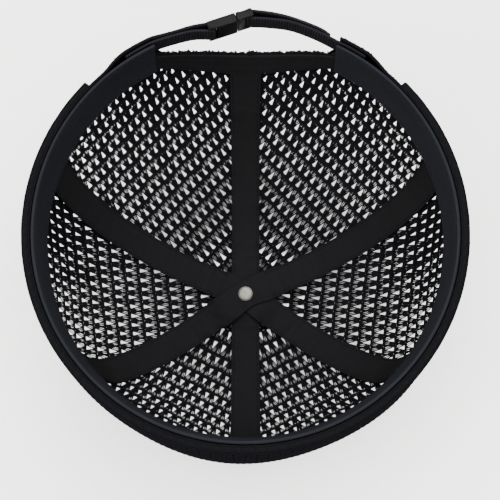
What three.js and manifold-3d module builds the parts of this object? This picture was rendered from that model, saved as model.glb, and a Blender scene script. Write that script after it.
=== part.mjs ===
// Six-panel mesh skull cap lying upside down on its crown, millimetres, +Z up.
// The front of the cap faces -Y, the strap at the back faces +Y, and the cap's left side is at -X.
import * as THREE from 'three';
import { mergeVertices } from 'three/addons/utils/BufferGeometryUtils.js';
import Module from 'manifold-3d';

const wasm = await Module();
wasm.setup();

// Hollow and crown
const HEAD_WIDTH = 187.2;      // hollow at the rim, side to side
const HEAD_LENGTH = 186;       // hollow at the rim, front to back
const CROWN_DEPTH = 106.7;     // rim plane to the crown's resting area, along the middle of the wall
const CROWN_FORWARD = 16.8;    // how far in front of the rim's middle the button lies
const BACK_FULLNESS = 0.05;    // the back swells and the front tucks by this share of the radius
const REST_RADIUS = 30;        // resting area pressed flat by the floor
const BUTTON_LIFT = 3;         // how far the button pushes the cloth up
const BUTTON_RADIUS = 7.5;
const SEAT_RADIUS = BUTTON_RADIUS + 1.5;
const SLOPE_RADIUS = REST_RADIUS * 0.74;   // the slope up to the button starts here

// Cloth walls and the room between them
const GAP = 0.3;               // between two pieces
const LAYER_ROOM = 0.6;        // between two bent layers that lie on each other
const MESH_WALL = 1.2;
const BAND_WALL = 1.6;
const TAPE_WALL = 1;
const BINDING_WALL = 1.2;
const CUFF_WALL = 1.6;
const WEB_WALL = 1.2;

// Widths of the sewn parts
const SWEATBAND_HEIGHT = 30;
const TAPE_WIDTH = 15;
const BINDING_WIDTH = 12.5;
const CUFF_HEIGHT = 45;
const CUFF_FLARE = 4.6;        // how far the hem of the cuff stands out at the front, beyond the fold
const CUFF_SIDE_FLARE = 1.6;   // the same at the two ends of the cuff
const CUFF_END = 47.2;         // degrees from the back seam to each end of the cuff
const RIM_TUCK = 2.4;          // the mesh stops this far below the rim plane
const HEM_LAP = 1;             // mesh that shows past the binding in the opening

// Opening at the back
const OPENING_WIDTH = 82;
const OPENING_HEIGHT = 34;
const OPENING_SIDE = 16;       // straight part of the opening's two sides
const CORNER_ROOM = 2.4;       // the mesh stands off here to let the webbing in
const CORNER_SPREAD = 15;      // degrees over which it comes back

// Seams, degrees round the crown from +X
const SEAM = { back: 90, backLeft: 157.9, frontLeft: 216.7, front: 270, frontRight: 323.3, backRight: 382.1 };
// Panels between two seams; the net gaps narrow towards the crown (1) or towards the rim (0)
const PANELS = [
  { name: 'mesh_panel_back_left', from: SEAM.back, to: SEAM.backLeft, tipAtCrown: 0, open: 1 },
  { name: 'mesh_panel_side_left', from: SEAM.backLeft, to: SEAM.frontLeft, tipAtCrown: 1, open: 0 },
  { name: 'mesh_panel_front_left', from: SEAM.frontLeft, to: SEAM.front, tipAtCrown: 0, open: 0 },
  { name: 'mesh_panel_front_right', from: SEAM.front, to: SEAM.frontRight, tipAtCrown: 0, open: 0 },
  { name: 'mesh_panel_side_right', from: SEAM.frontRight, to: SEAM.backRight, tipAtCrown: 1, open: 0 },
  { name: 'mesh_panel_back_right', from: SEAM.backRight, to: SEAM.back + 360, tipAtCrown: 0, open: 1 },
];
// Rows of net gaps from the sweatband up to the resting area
const NET_ROWS = [5, 5, 4, 3, 2, 1];
const NET_BAR = 3.6;           // cloth left between two gaps
const NET_GAP_LIMIT = 16;      // widest gap
const NET_TIP = 0.5;           // width of a gap's narrow end as a share of its wide end
const NET_MARGIN = 1;          // cloth between the edge of a seam tape and the first gap
const NET_COURSE = 0.12;       // share of a row taken by the course line on each side of its gaps
const NET_INSET = 0.3;         // a gap ends this share of NET_BAR inside the course line
const SKIRT_LINES = [0.34, 0.67];  // shares of the way from the rim to the net, for the solid skirt
const CORNER_NUDGE = 0.25;     // degrees left free on each side of the opening's corner
// Tapes over the seams, in the order in which they lie on each other
const TAPES = [
  { name: 'seam_tape_front_back', one: SEAM.back, two: SEAM.front, level: 0 },
  { name: 'seam_tape_left_back', one: SEAM.backLeft, two: SEAM.frontRight, level: 1 },
  { name: 'seam_tape_right_back', one: SEAM.backRight, two: SEAM.frontLeft + 360, level: 2 },
];

// Strap and buckle
const WEB_WIDTH = 11;
const WEB_DROP = 2;            // top edge of the webbing below the rim plane
const WEB_LAP = 8;             // degrees of webbing sewn in behind the mesh
const WEB_CLEAR = 0.05;        // webbing off the mesh that it is sewn to
const BUCKLE = { x: -7, y: 96.2, turn: 19, thick: 4.4, socketLength: 9.5, plugLength: 3.6 };
const BAR_RADIUS = 1;
const SHELL = 1.2;             // wall of the buckle
const BUCKLE_HEIGHT = WEB_WIDTH + 2 * (SHELL + GAP);
const LOOP = 2 * BAR_RADIUS + 3 * GAP + WEB_WALL;
// Webbing between the bar and the corner of the opening: share of the way, bow outwards
const LEFT_WEB = [{ share: 0.3, bow: 1.6 }, { share: 0.65, bow: 1.2 }];
const RIGHT_WEB = [{ share: 0.2, bow: 2.0 }, { share: 0.45, bow: 3.4 }, { share: 0.75, bow: 2.2 }];
const FREE_END = { left: 0.14, right: 0.12 };

const RIVET_RADIUS = 4;
const SHANK_RADIUS = 1.5;
const TAPE_HOLE = SHANK_RADIUS + 0.7;

const DEG = Math.PI / 180;
const CLOTH = 'fabric';
const PLASTIC = 'matte_plastic';
const METAL = 'brushed_steel';
const FINISHES = {
  [CLOTH]: { color: 0x19191c, roughness: 0.85, metalness: 0 },
  [PLASTIC]: { color: 0x151517, roughness: 0.4, metalness: 0 },
  [METAL]: { color: 0xc4c3bf, roughness: 0.35, metalness: 1 },
};
const HALF_X = HEAD_WIDTH / 2;
const HALF_Y = HEAD_LENGTH / 2;
const PROBE = 0.004;           // radians between two points that give a slope
const ROUND = 3;               // the wall's side view is |height|^3 + radius^2 = 1
const mix = (a, b, t) => a + (b - a) * t;
const mid = (a, b) => (a + b) / 2;
const clamp = (v, lo, hi) => Math.min(hi, Math.max(lo, v));
const smooth = (v, lo, hi) => {
  const t = clamp((v - lo) / (hi - lo), 0, 1);
  return t * t * (3 - 2 * t);
};
const MEAN_HALF = (HALF_X + HALF_Y) / 2;
const REST_SHARE = REST_RADIUS / MEAN_HALF;
// Height of the unpressed crown, so that the floor presses it flat just out to REST_RADIUS
const FULL_DEPTH = CROWN_DEPTH / Math.pow(1 - REST_SHARE * REST_SHARE, 1 / ROUND);

// The side view of the wall, from 0 at the rim to PI/2 at the button: share of the radius and depth
function meridian(turn) {
  const share = Math.cos(turn);
  const raw = FULL_DEPTH * Math.pow(Math.max(Math.sin(turn), 0), 2 / ROUND);
  const radius = share * MEAN_HALF;
  const lift = BUTTON_LIFT * (1 - smooth(radius, SEAT_RADIUS, SLOPE_RADIUS));
  return { share, depth: Math.min(raw, CROWN_DEPTH) - lift, raw };
}
// Point on the middle surface of the crown; angle and turn in radians
function crown(angle, turn) {
  const m = meridian(turn);
  const swell = BACK_FULLNESS * Math.sin(Math.PI * clamp(m.raw / (0.6 * FULL_DEPTH), 0, 1));
  const k = m.share * (1 + swell * Math.sin(angle));
  const forward = CROWN_FORWARD * clamp(m.raw / FULL_DEPTH, 0, 1);
  return new THREE.Vector3(HALF_X * k * Math.cos(angle), HALF_Y * k * Math.sin(angle) - forward, -m.depth);
}
// The same point moved outwards by out, along the normal found from the slopes on both sides
function wall(angle, turn, out) {
  const step = PROBE;
  const t0 = clamp(turn - step, 0, Math.PI / 2 - step);
  const up = crown(angle, t0 + 2 * step).sub(crown(angle, t0));
  const round = turn > Math.PI / 2 - step
    ? new THREE.Vector3(-Math.sin(angle), Math.cos(angle), 0)
    : crown(angle + step, turn).sub(crown(angle - step, turn));
  const normal = round.cross(up).normalize();
  return crown(angle, turn).addScaledVector(normal, -out);
}
// Length along the wall from the rim, tabulated at equal steps of turn
const STEPS = 600;
const LENGTHS = [0];
for (let i = 1; i <= STEPS; i += 1) {
  const a = crown(Math.PI, ((i - 1) / STEPS) * (Math.PI / 2));
  const b = crown(Math.PI, (i / STEPS) * (Math.PI / 2));
  LENGTHS.push(LENGTHS[i - 1] + a.setY(0).distanceTo(b.setY(0)));
}
const WALL_LENGTH = LENGTHS[STEPS];
function turnAt(length) {
  let i = 1;
  while (i < STEPS && LENGTHS[i] < length) i += 1;
  const t = clamp((length - LENGTHS[i - 1]) / (LENGTHS[i] - LENGTHS[i - 1]), 0, 1);
  return ((i - 1 + t) / STEPS) * (Math.PI / 2);
}
const turnAtDepth = (depth) => Math.asin(Math.pow(clamp(depth / FULL_DEPTH, 0, 1), ROUND / 2));
const lengthAtDepth = (depth) => {
  const at = (turnAtDepth(depth) / (Math.PI / 2)) * STEPS;
  const i = Math.min(Math.floor(at), STEPS - 1);
  return mix(LENGTHS[i], LENGTHS[i + 1], at - i);
};
const lengthAtRadius = (radius) => {
  const at = (Math.acos(clamp(radius / MEAN_HALF, 0, 1)) / (Math.PI / 2)) * STEPS;
  const i = Math.min(Math.floor(at), STEPS - 1);
  return mix(LENGTHS[i], LENGTHS[i + 1], at - i);
};
const radiusAt = (length) => MEAN_HALF * Math.cos(turnAt(length));

// Layers, outwards from the middle surface
const BAND = { in: -BAND_WALL / 2, out: BAND_WALL / 2 };
const MESH = { in: BAND.out + LAYER_ROOM, out: BAND.out + LAYER_ROOM + MESH_WALL };
const TAPE_OUT = MESH.in - LAYER_ROOM;
const BINDING = { in: TAPE_OUT - BINDING_WALL, out: TAPE_OUT };
const LEVEL = TAPE_WALL + LAYER_ROOM;

const group = new THREE.Group();
group.name = 'mesh_skull_cap';
function add(name, material, positions, index) {
  const geometry = new THREE.BufferGeometry();
  geometry.setAttribute('position', new THREE.Float32BufferAttribute(positions, 3));
  geometry.setIndex(index);
  geometry.computeVertexNormals();
  const mesh = new THREE.Mesh(geometry, new THREE.MeshStandardMaterial(FINISHES[material]));
  mesh.name = name;
  mesh.material.name = material;
  group.add(mesh);
}
// A wall of cloth: points hold the two faces, faces the triangles of one of them.
// Every free edge, at the rim of a gap too, gets a side.
function cloth(name, points, faces) {
  const count = points.length;
  const positions = [];
  for (const p of points) positions.push(p.out.x, p.out.y, p.out.z);
  for (const p of points) positions.push(p.in.x, p.in.y, p.in.z);
  let index = [];
  const edges = new Map();
  for (const [a, b, c] of faces) {
    index.push(a, b, c, a + count, c + count, b + count);
    for (const [p, q] of [[a, b], [b, c], [c, a]]) edges.set(p + '_' + q, [p, q]);
  }
  for (const [p, q] of edges.values()) {
    if (edges.has(q + '_' + p)) continue;
    index.push(q, p, p + count, q, p + count, q + count);
  }
  const at = (i) => new THREE.Vector3().fromArray(positions, 3 * i);
  let volume = 0;
  for (let i = 0; i < index.length; i += 3) {
    volume += at(index[i]).dot(at(index[i + 1]).cross(at(index[i + 2])));
  }
  if (volume < 0) index = index.map((v, i) => index[i - (i % 3) + [0, 2, 1][i % 3]]);
  add(name, CLOTH, positions, index);
}
// Triangles of a grid with the given numbers of points; skip(i, j) leaves a cell out
function gridFaces(rows, columns, skip = () => false) {
  const faces = [];
  for (let i = 0; i < rows - 1; i += 1) {
    for (let j = 0; j < columns - 1; j += 1) {
      if (skip(i, j)) continue;
      const a = i * columns + j;
      faces.push([a, a + 1, a + columns + 1], [a, a + columns + 1, a + columns]);
    }
  }
  return faces;
}
const spread = (from, to, cells) => Array.from({ length: cells + 1 }, (_, i) => mix(from, to, i / cells));

// Edge of the opening: depth below the rim plane at a place round the rim, or null beside it
const OPEN_ANGLE = Math.acos(OPENING_WIDTH / 2 / HALF_X) / DEG;
const OPEN_HALF = 90 - OPEN_ANGLE;
function openingDepth(degrees) {
  const x = (HALF_X * Math.cos(degrees * DEG)) / (OPENING_WIDTH / 2);
  return OPENING_SIDE + (OPENING_HEIGHT - OPENING_SIDE) * (1 - Math.min(x * x, 1));
}
const fromBack = (degrees) => Math.abs(((degrees - 90 + 540) % 360) - 180);
// First course line of the net, as a length from the rim
function netStart(degrees, open) {
  const band = lengthAtDepth(SWEATBAND_HEIGHT + NET_MARGIN);
  if (!open || fromBack(degrees) > OPEN_HALF) return band;
  return Math.max(band, lengthAtDepth(openingDepth(degrees) + BINDING_WIDTH + NET_MARGIN));
}
// The mesh stands off the sweatband beside the opening, where the webbing is sewn in
function standOff(degrees, depth) {
  const away = fromBack(degrees) - OPEN_HALF;
  const side = smooth(away, -4, 0) * (1 - smooth(away, WEB_LAP, WEB_LAP + CORNER_SPREAD * 0.6));
  return CORNER_ROOM * side * (1 - smooth(depth, WEB_DROP + WEB_WIDTH, SWEATBAND_HEIGHT + 6));
}

function meshPanel(panel) {
  const span = panel.to - panel.from;
  const points = [];
  const faces = [];
  const place = (u, length) => {
    const room = GAP / 2 / (radiusAt(length) * DEG);
    const degrees = clamp(panel.from + span * u, panel.from + room, panel.to - room);
    const turn = turnAt(length);
    const off = panel.open ? standOff(degrees, meridian(turn).depth) : 0;
    const [outer, inner] = [MESH.out, MESH.in].map((face) => wall(degrees * DEG, turn, face + off));
    points.push({ out: outer, in: inner });
    return points.length - 1;
  };
  // Joins two course lines that need not have the same number of points
  const join = (low, high) => {
    let i = 0;
    let j = 0;
    while (i < low.length - 1 || j < high.length - 1) {
      const stepLow = j === high.length - 1 || (i < low.length - 1 && low[i + 1].u <= high[j + 1].u);
      if (stepLow) {
        faces.push([low[i].id, low[i + 1].id, high[j].id]);
        i += 1;
      } else {
        faces.push([low[i].id, high[j + 1].id, high[j].id]);
        j += 1;
      }
    }
  };
  const line = (us, lengthOf) => us.map((u) => ({ u, id: place(u, lengthOf(u)) }));
  const degreesAt = (u) => panel.from + span * u;

  // Solid skirt behind the sweatband and the cuff
  let us = spread(0, 1, 8);
  let low = () => lengthAtDepth(RIM_TUCK);
  if (panel.open) {
    const corner = panel.from === SEAM.back ? OPEN_HALF / span : 1 - OPEN_HALF / span;
    const nudge = CORNER_NUDGE / span;
    const cells = [corner, 1 - corner].map((share) => Math.round(share * 10));
    us = [...spread(0, corner - nudge, cells[0]), ...spread(corner + nudge, 1, cells[1])];
    const edge = lengthAtDepth(RIM_TUCK);
    low = (u) => (fromBack(degreesAt(u)) < OPEN_HALF
      ? lengthAtDepth(openingDepth(degreesAt(u)) - HEM_LAP) : edge);
  }
  const start = (u) => netStart(degreesAt(u), panel.open);
  let previous = line(us, low);
  for (const share of SKIRT_LINES) {
    const next = line(us, (u) => mix(low(u), start(u), share));
    join(previous, next);
    previous = next;
  }

  // Net: rows of cells, a gap in each
  const end = lengthAtRadius(REST_RADIUS);
  const rows = NET_ROWS.length;
  NET_ROWS.forEach((cells, row) => {
    const courses = [0, 1].map((side) => {
      const share = (row + (side ? 1 - NET_COURSE : NET_COURSE)) / rows;
      const width = radiusAt(mix(start(0.5), end, share)) * span * DEG;
      const edge = (TAPE_WIDTH / 2 + NET_MARGIN) / width;
      const at = [0, ...spread(edge, 1 - edge, cells), 1];
      const course = line(at, (u) => mix(start(u), end, share));
      return { width: (width * (1 - 2 * edge)) / cells, points: course, share };
    });
    const [a, b] = courses.map((c) => c.points);
    join(previous, a);
    for (const side of [0, cells + 1]) {
      faces.push([a[side].id, a[side + 1].id, b[side + 1].id], [a[side].id, b[side + 1].id, b[side].id]);
    }
    const rowLength = (end - start(0.5)) / rows;
    for (let cell = 1; cell <= cells; cell += 1) {
      const corners = [a[cell], a[cell + 1], b[cell + 1], b[cell]];
      const hole = [0, 1, 2, 3].map((k) => {
        const top = k > 1 ? 1 : 0;
        const cellWidth = courses[top].width;
        const wide = Math.min(NET_GAP_LIMIT, cellWidth - NET_BAR) / cellWidth;
        const share = (top === panel.tipAtCrown ? NET_TIP : 1) * wide;
        const side = k === 1 || k === 2 ? 1 : -1;
        const along = (NET_BAR * NET_INSET) / rowLength;
        const t = top ? courses[1].share - along / rows : courses[0].share + along / rows;
        const u = mix(courses[top].points[cell].u, courses[top].points[cell + 1].u, 0.5 + (side * share) / 2);
        return { id: place(u, mix(start(u), end, t)) };
      });
      for (let k = 0; k < 4; k += 1) {
        const m = (k + 1) % 4;
        faces.push([corners[k].id, corners[m].id, hole[m].id], [corners[k].id, hole[m].id, hole[k].id]);
      }
    }
    previous = b;
  });

  // Resting area and the slope up to the button
  const inner = SHANK_RADIUS * 2;
  for (const radius of [REST_RADIUS, SLOPE_RADIUS, mix(SLOPE_RADIUS, SEAT_RADIUS, 0.35),
    mix(SLOPE_RADIUS, SEAT_RADIUS, 0.7), SEAT_RADIUS, inner]) {
    const next = line(spread(0, 1, radius > SEAT_RADIUS ? 4 : 2), () => lengthAtRadius(radius));
    join(previous, next);
    previous = next;
  }
  cloth(panel.name, points, faces);
}

function sweatband() {
  const rows = spread(0, SWEATBAND_HEIGHT, 4);
  const columns = spread(90 + OPEN_HALF, 450 - OPEN_HALF, 48);
  const points = rows.flatMap((depth) => columns.map((degrees) => ({
    out: wall(degrees * DEG, turnAtDepth(depth), BAND.out),
    in: wall(degrees * DEG, turnAtDepth(depth), BAND.in),
  })));
  cloth('sweatband', points, gridFaces(rows.length, columns.length));
}

function openingBinding() {
  const room = (GAP / HALF_X) / DEG;
  const columns = spread(90 + OPEN_HALF - room, 90 - OPEN_HALF + room, 18);
  const rows = spread(0, 1, 3);
  const points = rows.flatMap((share) => columns.map((degrees) => {
    const depth = openingDepth(degrees);
    const top = Math.max(depth + BINDING_WIDTH, SWEATBAND_HEIGHT);
    const turn = turnAtDepth(mix(depth, top, share));
    return { out: wall(degrees * DEG, turn, BINDING.out), in: wall(degrees * DEG, turn, BINDING.in) };
  }));
  cloth('opening_binding', points, gridFaces(rows.length, columns.length));
}

// A tape in two arms from the button, with a hole for the rivet's shank.
// Its run is laid out on a flat map of the crown: distance from the button and angle.
function seamTape(tape) {
  const arm = (degrees) => {
    const band = fromBack(degrees) < OPEN_HALF
      ? lengthAtDepth(OPENING_HEIGHT + BINDING_WIDTH) : lengthAtDepth(SWEATBAND_HEIGHT);
    return WALL_LENGTH - band - LAYER_ROOM;
  };
  const near = [TAPE_HOLE, SEAT_RADIUS * 0.6, SEAT_RADIUS, mix(SEAT_RADIUS, SLOPE_RADIUS, 0.33),
    mix(SEAT_RADIUS, SLOPE_RADIUS, 0.67), SLOPE_RADIUS, REST_RADIUS];
  const far = (degrees) => spread(REST_RADIUS, arm(degrees), 9).slice(1);
  const runs = [...far(tape.two).reverse().map((v) => -v), ...[...near].reverse().map((v) => -v),
    ...near, ...far(tape.one)];
  const across = [-TAPE_WIDTH / 2, -TAPE_HOLE, TAPE_HOLE, TAPE_WIDTH / 2];
  const one = new THREE.Vector2(Math.cos(tape.one * DEG), Math.sin(tape.one * DEG));
  const two = new THREE.Vector2(-Math.cos(tape.two * DEG), -Math.sin(tape.two * DEG));
  const points = runs.flatMap((run) => across.map((w) => {
    const away = Math.abs(run);
    const along = (run > 0 ? one : two).clone();
    const turned = two.clone().lerp(one, smooth(run, -SEAT_RADIUS, SEAT_RADIUS)).normalize();
    const stretch = away > SEAT_RADIUS ? away / Math.max(radiusAt(WALL_LENGTH - away), 1) : 1;
    const aside = new THREE.Vector2(-turned.y, turned.x).multiplyScalar(w * stretch);
    const p = along.multiplyScalar(run).add(aside);
    const turn = turnAt(WALL_LENGTH - p.length());
    const risen = 1 - smooth(away, TAPE_WIDTH * 1.3, REST_RADIUS + TAPE_WIDTH);
    const out = TAPE_OUT - LEVEL * tape.level * risen;
    const angle = Math.atan2(p.y, p.x);
    return { out: wall(angle, turn, out), in: wall(angle, turn, out - TAPE_WALL) };
  }));
  const middle = near.length + far(tape.two).length - 1;
  cloth(tape.name, points, gridFaces(runs.length, across.length, (i, j) => i === middle && j === 1));
}

// Folded cuff: hem, flared outer wall and the fold over the edge of the mesh.
// A row has its height below the rim plane and how far it lies in over the fold.
const CUFF_ROWS = [{ depth: CUFF_HEIGHT, fold: 0 }, { depth: CUFF_HEIGHT * 0.7, fold: 0 },
  { depth: CUFF_HEIGHT * 0.4, fold: 0 }, { depth: CUFF_HEIGHT * 0.15, fold: 0 },
  { depth: CUFF_WALL, fold: 0 }, { depth: CUFF_WALL / 4, fold: 0.5 }, { depth: 0, fold: 1 }];
function cuff() {
  const columns = spread(90 + CUFF_END, 450 - CUFF_END, 44);
  const inner = MESH.out + LAYER_ROOM;
  const outAt = (degrees, depth) => {
    const flare = mix(CUFF_SIDE_FLARE, CUFF_FLARE, smooth(fromBack(degrees), 60, 180));
    return inner + CUFF_WALL + flare * Math.pow(depth / CUFF_HEIGHT, 0.8);
  };
  const foldIn = BAND.out + GAP;
  const points = CUFF_ROWS.flatMap(({ depth, fold }) => columns.map((degrees) => {
    const a = degrees * DEG;
    const rim = crown(a, 0);
    const normal = new THREE.Vector3(rim.x / HALF_X ** 2, rim.y / HALF_Y ** 2, 0).normalize();
    const at = (out, down) => rim.clone().addScaledVector(normal, out).setZ(-down);
    const outer = outAt(degrees, depth);
    if (fold === 1) return { out: at(foldIn, 0), in: at(foldIn, CUFF_WALL) };
    if (fold > 0) {
      return { out: at(outer - CUFF_WALL * 0.4, depth), in: at(mix(foldIn, inner, 0.8), CUFF_WALL) };
    }
    return { out: at(outer, depth), in: at(outer - CUFF_WALL, Math.max(depth, CUFF_WALL * 1.4)) };
  }));
  cloth('cuff', points, gridFaces(CUFF_ROWS.length, columns.length));
}

// Webbing: a ribbon on edge that follows a path in plan
function ribbon(name, path) {
  const points = [];
  path.forEach((p, i) => {
    const a = path[Math.max(i - 1, 0)];
    const b = path[Math.min(i + 1, path.length - 1)];
    const along = b.clone().sub(a).normalize();
    const side = new THREE.Vector2(-along.y, along.x).multiplyScalar(WEB_WALL / 2);
    for (const down of [WEB_DROP, WEB_DROP + WEB_WIDTH]) {
      points.push({
        out: new THREE.Vector3(p.x + side.x, p.y + side.y, -down),
        in: new THREE.Vector3(p.x - side.x, p.y - side.y, -down),
      });
    }
  });
  cloth(name, points, gridFaces(path.length, 2));
}
const BUCKLE_ALONG = new THREE.Vector2(Math.cos(BUCKLE.turn * DEG), Math.sin(BUCKLE.turn * DEG));
const BUCKLE_OUT = new THREE.Vector2(-BUCKLE_ALONG.y, BUCKLE_ALONG.x);
const BUCKLE_LENGTH = BUCKLE.socketLength + GAP + BUCKLE.plugLength + 2 * LOOP;
const BAR_AT = BUCKLE_LENGTH / 2 - BAR_RADIUS - GAP;
function webbing(name, side, table, free) {
  const edge = 90 - side * OPEN_HALF;
  const middle = MESH.in + WEB_WALL / 2 + WEB_CLEAR;
  const sewn = spread(edge - side * WEB_LAP, edge, 4).map((degrees) => {
    const p = wall(degrees * DEG, turnAtDepth(WEB_DROP + WEB_WIDTH / 2), middle);
    return new THREE.Vector2(p.x, p.y);
  });
  const bar = new THREE.Vector2(BUCKLE.x, BUCKLE.y).addScaledVector(BUCKLE_ALONG, side * BAR_AT);
  const bend = BAR_RADIUS + GAP + WEB_WALL / 2;
  const corner = sewn[sewn.length - 1];
  const straight = bar.clone().addScaledVector(BUCKLE_OUT, -bend);
  const run = corner.clone().sub(straight);
  const out = new THREE.Vector2(-run.y, run.x).normalize().multiplyScalar(side);
  const inner = [...table].reverse().map(({ share, bow }) => straight.clone().addScaledVector(run, share)
    .addScaledVector(out, bow));
  const loop = spread(0, Math.PI, 6).map((t) => bar.clone()
    .addScaledVector(BUCKLE_OUT, -bend * Math.cos(t))
    .addScaledVector(BUCKLE_ALONG, -side * bend * Math.sin(t)));
  const layer = WEB_WALL + LAYER_ROOM;
  const outer = table.map(({ share, bow }) => straight.clone().addScaledVector(run, share)
    .addScaledVector(out, bow + mix(2 * bend, layer, Math.min(share * 2.4, 1))));
  const last = straight.clone().addScaledVector(run, 1 - free).addScaledVector(out, layer * 1.3);
  ribbon(name, [...sewn, ...inner, ...loop, ...outer, last]);
}

// Buckle parts: boxes and bars in the buckle's own frame, x along the strap, y outwards
function manifold(geometry) {
  const bare = geometry.clone();
  bare.deleteAttribute('normal');
  bare.deleteAttribute('uv');
  const merged = mergeVertices(bare, 1e-4);
  return new wasm.Manifold(new wasm.Mesh({
    numProp: 3,
    vertProperties: new Float32Array(merged.attributes.position.array),
    triVerts: new Uint32Array(merged.index.array),
  }));
}
function block(x0, x1, halfY, z0, z1) {
  const box = new THREE.BoxGeometry(x1 - x0, 2 * halfY, z1 - z0);
  return manifold(box.translate((x0 + x1) / 2, 0, (z0 + z1) / 2));
}
function bar(x, radius, half) {
  const rod = new THREE.CylinderGeometry(radius, radius, 2 * half, 12).rotateX(Math.PI / 2);
  return manifold(rod.translate(x, 0, 0));
}
function addBuckle(name, solid) {
  const shell = solid.getMesh();
  const matrix = new THREE.Matrix4().makeRotationZ(BUCKLE.turn * DEG)
    .setPosition(BUCKLE.x, BUCKLE.y, -(WEB_DROP + WEB_WIDTH / 2));
  const geometry = new THREE.BufferGeometry();
  geometry.setAttribute('position', new THREE.Float32BufferAttribute(shell.vertProperties, 3));
  geometry.applyMatrix4(matrix);
  add(name, PLASTIC, Array.from(geometry.attributes.position.array), Array.from(shell.triVerts));
}
function buckle() {
  const halfZ = BUCKLE_HEIGHT / 2;
  const halfY = BUCKLE.thick / 2;
  const west = -BUCKLE_LENGTH / 2;
  const east = BUCKLE_LENGTH / 2;
  const body = west + LOOP;
  const mouth = body + BUCKLE.socketLength;
  const cheek = halfZ - SHELL;
  // Housing with the cavity, a window in each short side and the loop for the webbing
  const cavityY = halfY - SHELL * 0.8;
  const female = block(west, mouth, halfY, -halfZ, halfZ)
    .subtract(block(body + SHELL, mouth + 1, cavityY, -cheek, cheek))
    .subtract(block(body + SHELL * 2, mouth - SHELL * 2, cavityY, -halfZ - 1, halfZ + 1))
    .subtract(block(west - 1, body, halfY + 1, -cheek, cheek))
    .add(bar(-BAR_AT, BAR_RADIUS, halfZ - SHELL / 2));
  addBuckle('buckle_socket', female);
  // Plug: base with its loop, a guide and two sprung arms whose shoulders fill the windows
  const base = mouth + GAP;
  const armY = cavityY - GAP;
  const armZ = cheek - GAP;
  let male = block(base, east, halfY * 0.85, -halfZ, halfZ)
    .subtract(block(base + BUCKLE.plugLength, east + 1, halfY + 1, -cheek, cheek))
    .add(bar(BAR_AT, BAR_RADIUS, halfZ - SHELL / 2))
    .add(block(body + SHELL + 2 * GAP, base + SHELL, armY, -SHELL, SHELL));
  for (const side of [-1, 1]) {
    const [z0, z1] = [armZ - SHELL * 1.6, armZ].map((z) => side * z).sort((a, b) => a - b);
    const [s0, s1] = [armZ - SHELL, halfZ - GAP].map((z) => side * z).sort((a, b) => a - b);
    male = male.add(block(body + SHELL * 2 + GAP, base + SHELL, armY, z0, z1))
      .add(block(body + SHELL * 2 + GAP, mid(body, mouth), armY, s0, s1));
  }
  addBuckle('buckle_plug', male);
}

// Turned parts round the button's axis
function turned(name, material, profile) {
  const lathe = new THREE.LatheGeometry(profile.map(([r, z]) => new THREE.Vector2(r, z)), 28)
    .rotateX(Math.PI / 2).translate(0, -CROWN_FORWARD, 0);
  const bare = lathe.clone();
  bare.deleteAttribute('normal');
  bare.deleteAttribute('uv');
  const merged = mergeVertices(bare, 1e-4);
  const index = [];
  for (let i = 0; i < merged.index.count; i += 3) {
    const t = [0, 1, 2].map((k) => merged.index.getX(i + k));
    if (new Set(t).size === 3) index.push(...t);
  }
  add(name, material, Array.from(merged.attributes.position.array), index);
}
const FLOOR = -(CROWN_DEPTH + MESH.out);
const SEAT = FLOOR + BUTTON_LIFT;              // outer face of the mesh over the button
function topButton() {
  const top = SEAT - GAP;
  const edge = (top - FLOOR) * 0.35;
  turned('top_button', CLOTH, [[0, FLOOR], [BUTTON_RADIUS - edge, FLOOR],
    [BUTTON_RADIUS - edge * 0.3, FLOOR + edge * 0.3], [BUTTON_RADIUS, FLOOR + edge],
    [BUTTON_RADIUS, top - edge], [BUTTON_RADIUS - edge, top], [0, top]]);
}
function crownRivet() {
  const head = SEAT + MESH.out - TAPE_OUT + TAPE_WALL + 2 * LEVEL + GAP;
  const thick = 1.1;
  turned('crown_rivet', METAL, [[0, SEAT], [SHANK_RADIUS, SEAT], [SHANK_RADIUS, head],
    [RIVET_RADIUS, head], [RIVET_RADIUS, head + thick * 0.5], [RIVET_RADIUS * 0.88, head + thick],
    [0, head + thick]]);
}

PANELS.forEach(meshPanel);
TAPES.forEach(seamTape);
sweatband();
openingBinding();
cuff();
webbing('strap_webbing_left', -1, LEFT_WEB, FREE_END.left);
webbing('strap_webbing_right', 1, RIGHT_WEB, FREE_END.right);
buckle();
topButton();
crownRivet();

// Stand the cap on the floor with its outline centred
const box = new THREE.Box3().setFromObject(group);
for (const mesh of group.children) {
  mesh.geometry.translate(-(box.min.x + box.max.x) / 2, -(box.min.y + box.max.y) / 2, -box.min.z);
}

export default group;
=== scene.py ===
"""Six-panel net skull cap, lying upside down on its crown.

All lengths are in metres. The front of the cap faces -Y, the strap at the back +Y, and the hollow opens up.
"""

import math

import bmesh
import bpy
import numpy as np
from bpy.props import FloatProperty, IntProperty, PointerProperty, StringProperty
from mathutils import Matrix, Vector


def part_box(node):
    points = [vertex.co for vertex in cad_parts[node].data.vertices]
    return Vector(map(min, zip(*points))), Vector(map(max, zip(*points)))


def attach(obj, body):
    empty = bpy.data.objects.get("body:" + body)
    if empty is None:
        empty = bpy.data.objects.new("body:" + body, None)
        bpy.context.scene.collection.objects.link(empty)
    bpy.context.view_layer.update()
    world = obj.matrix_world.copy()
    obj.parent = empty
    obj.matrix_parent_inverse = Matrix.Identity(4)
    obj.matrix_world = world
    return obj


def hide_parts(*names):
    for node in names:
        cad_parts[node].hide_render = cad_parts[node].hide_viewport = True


bl_info = {
    "name": "Mesh Skull Cap",
    "version": (1, 0, 0),
    "blender": (4, 5, 0),
    "location": "3D View > Sidebar > Skull Cap",
    "description": "Dresses the frame of a net skull cap with knitted net, tapes, webbing and a buckle",
    "category": "Add Mesh",
}

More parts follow.
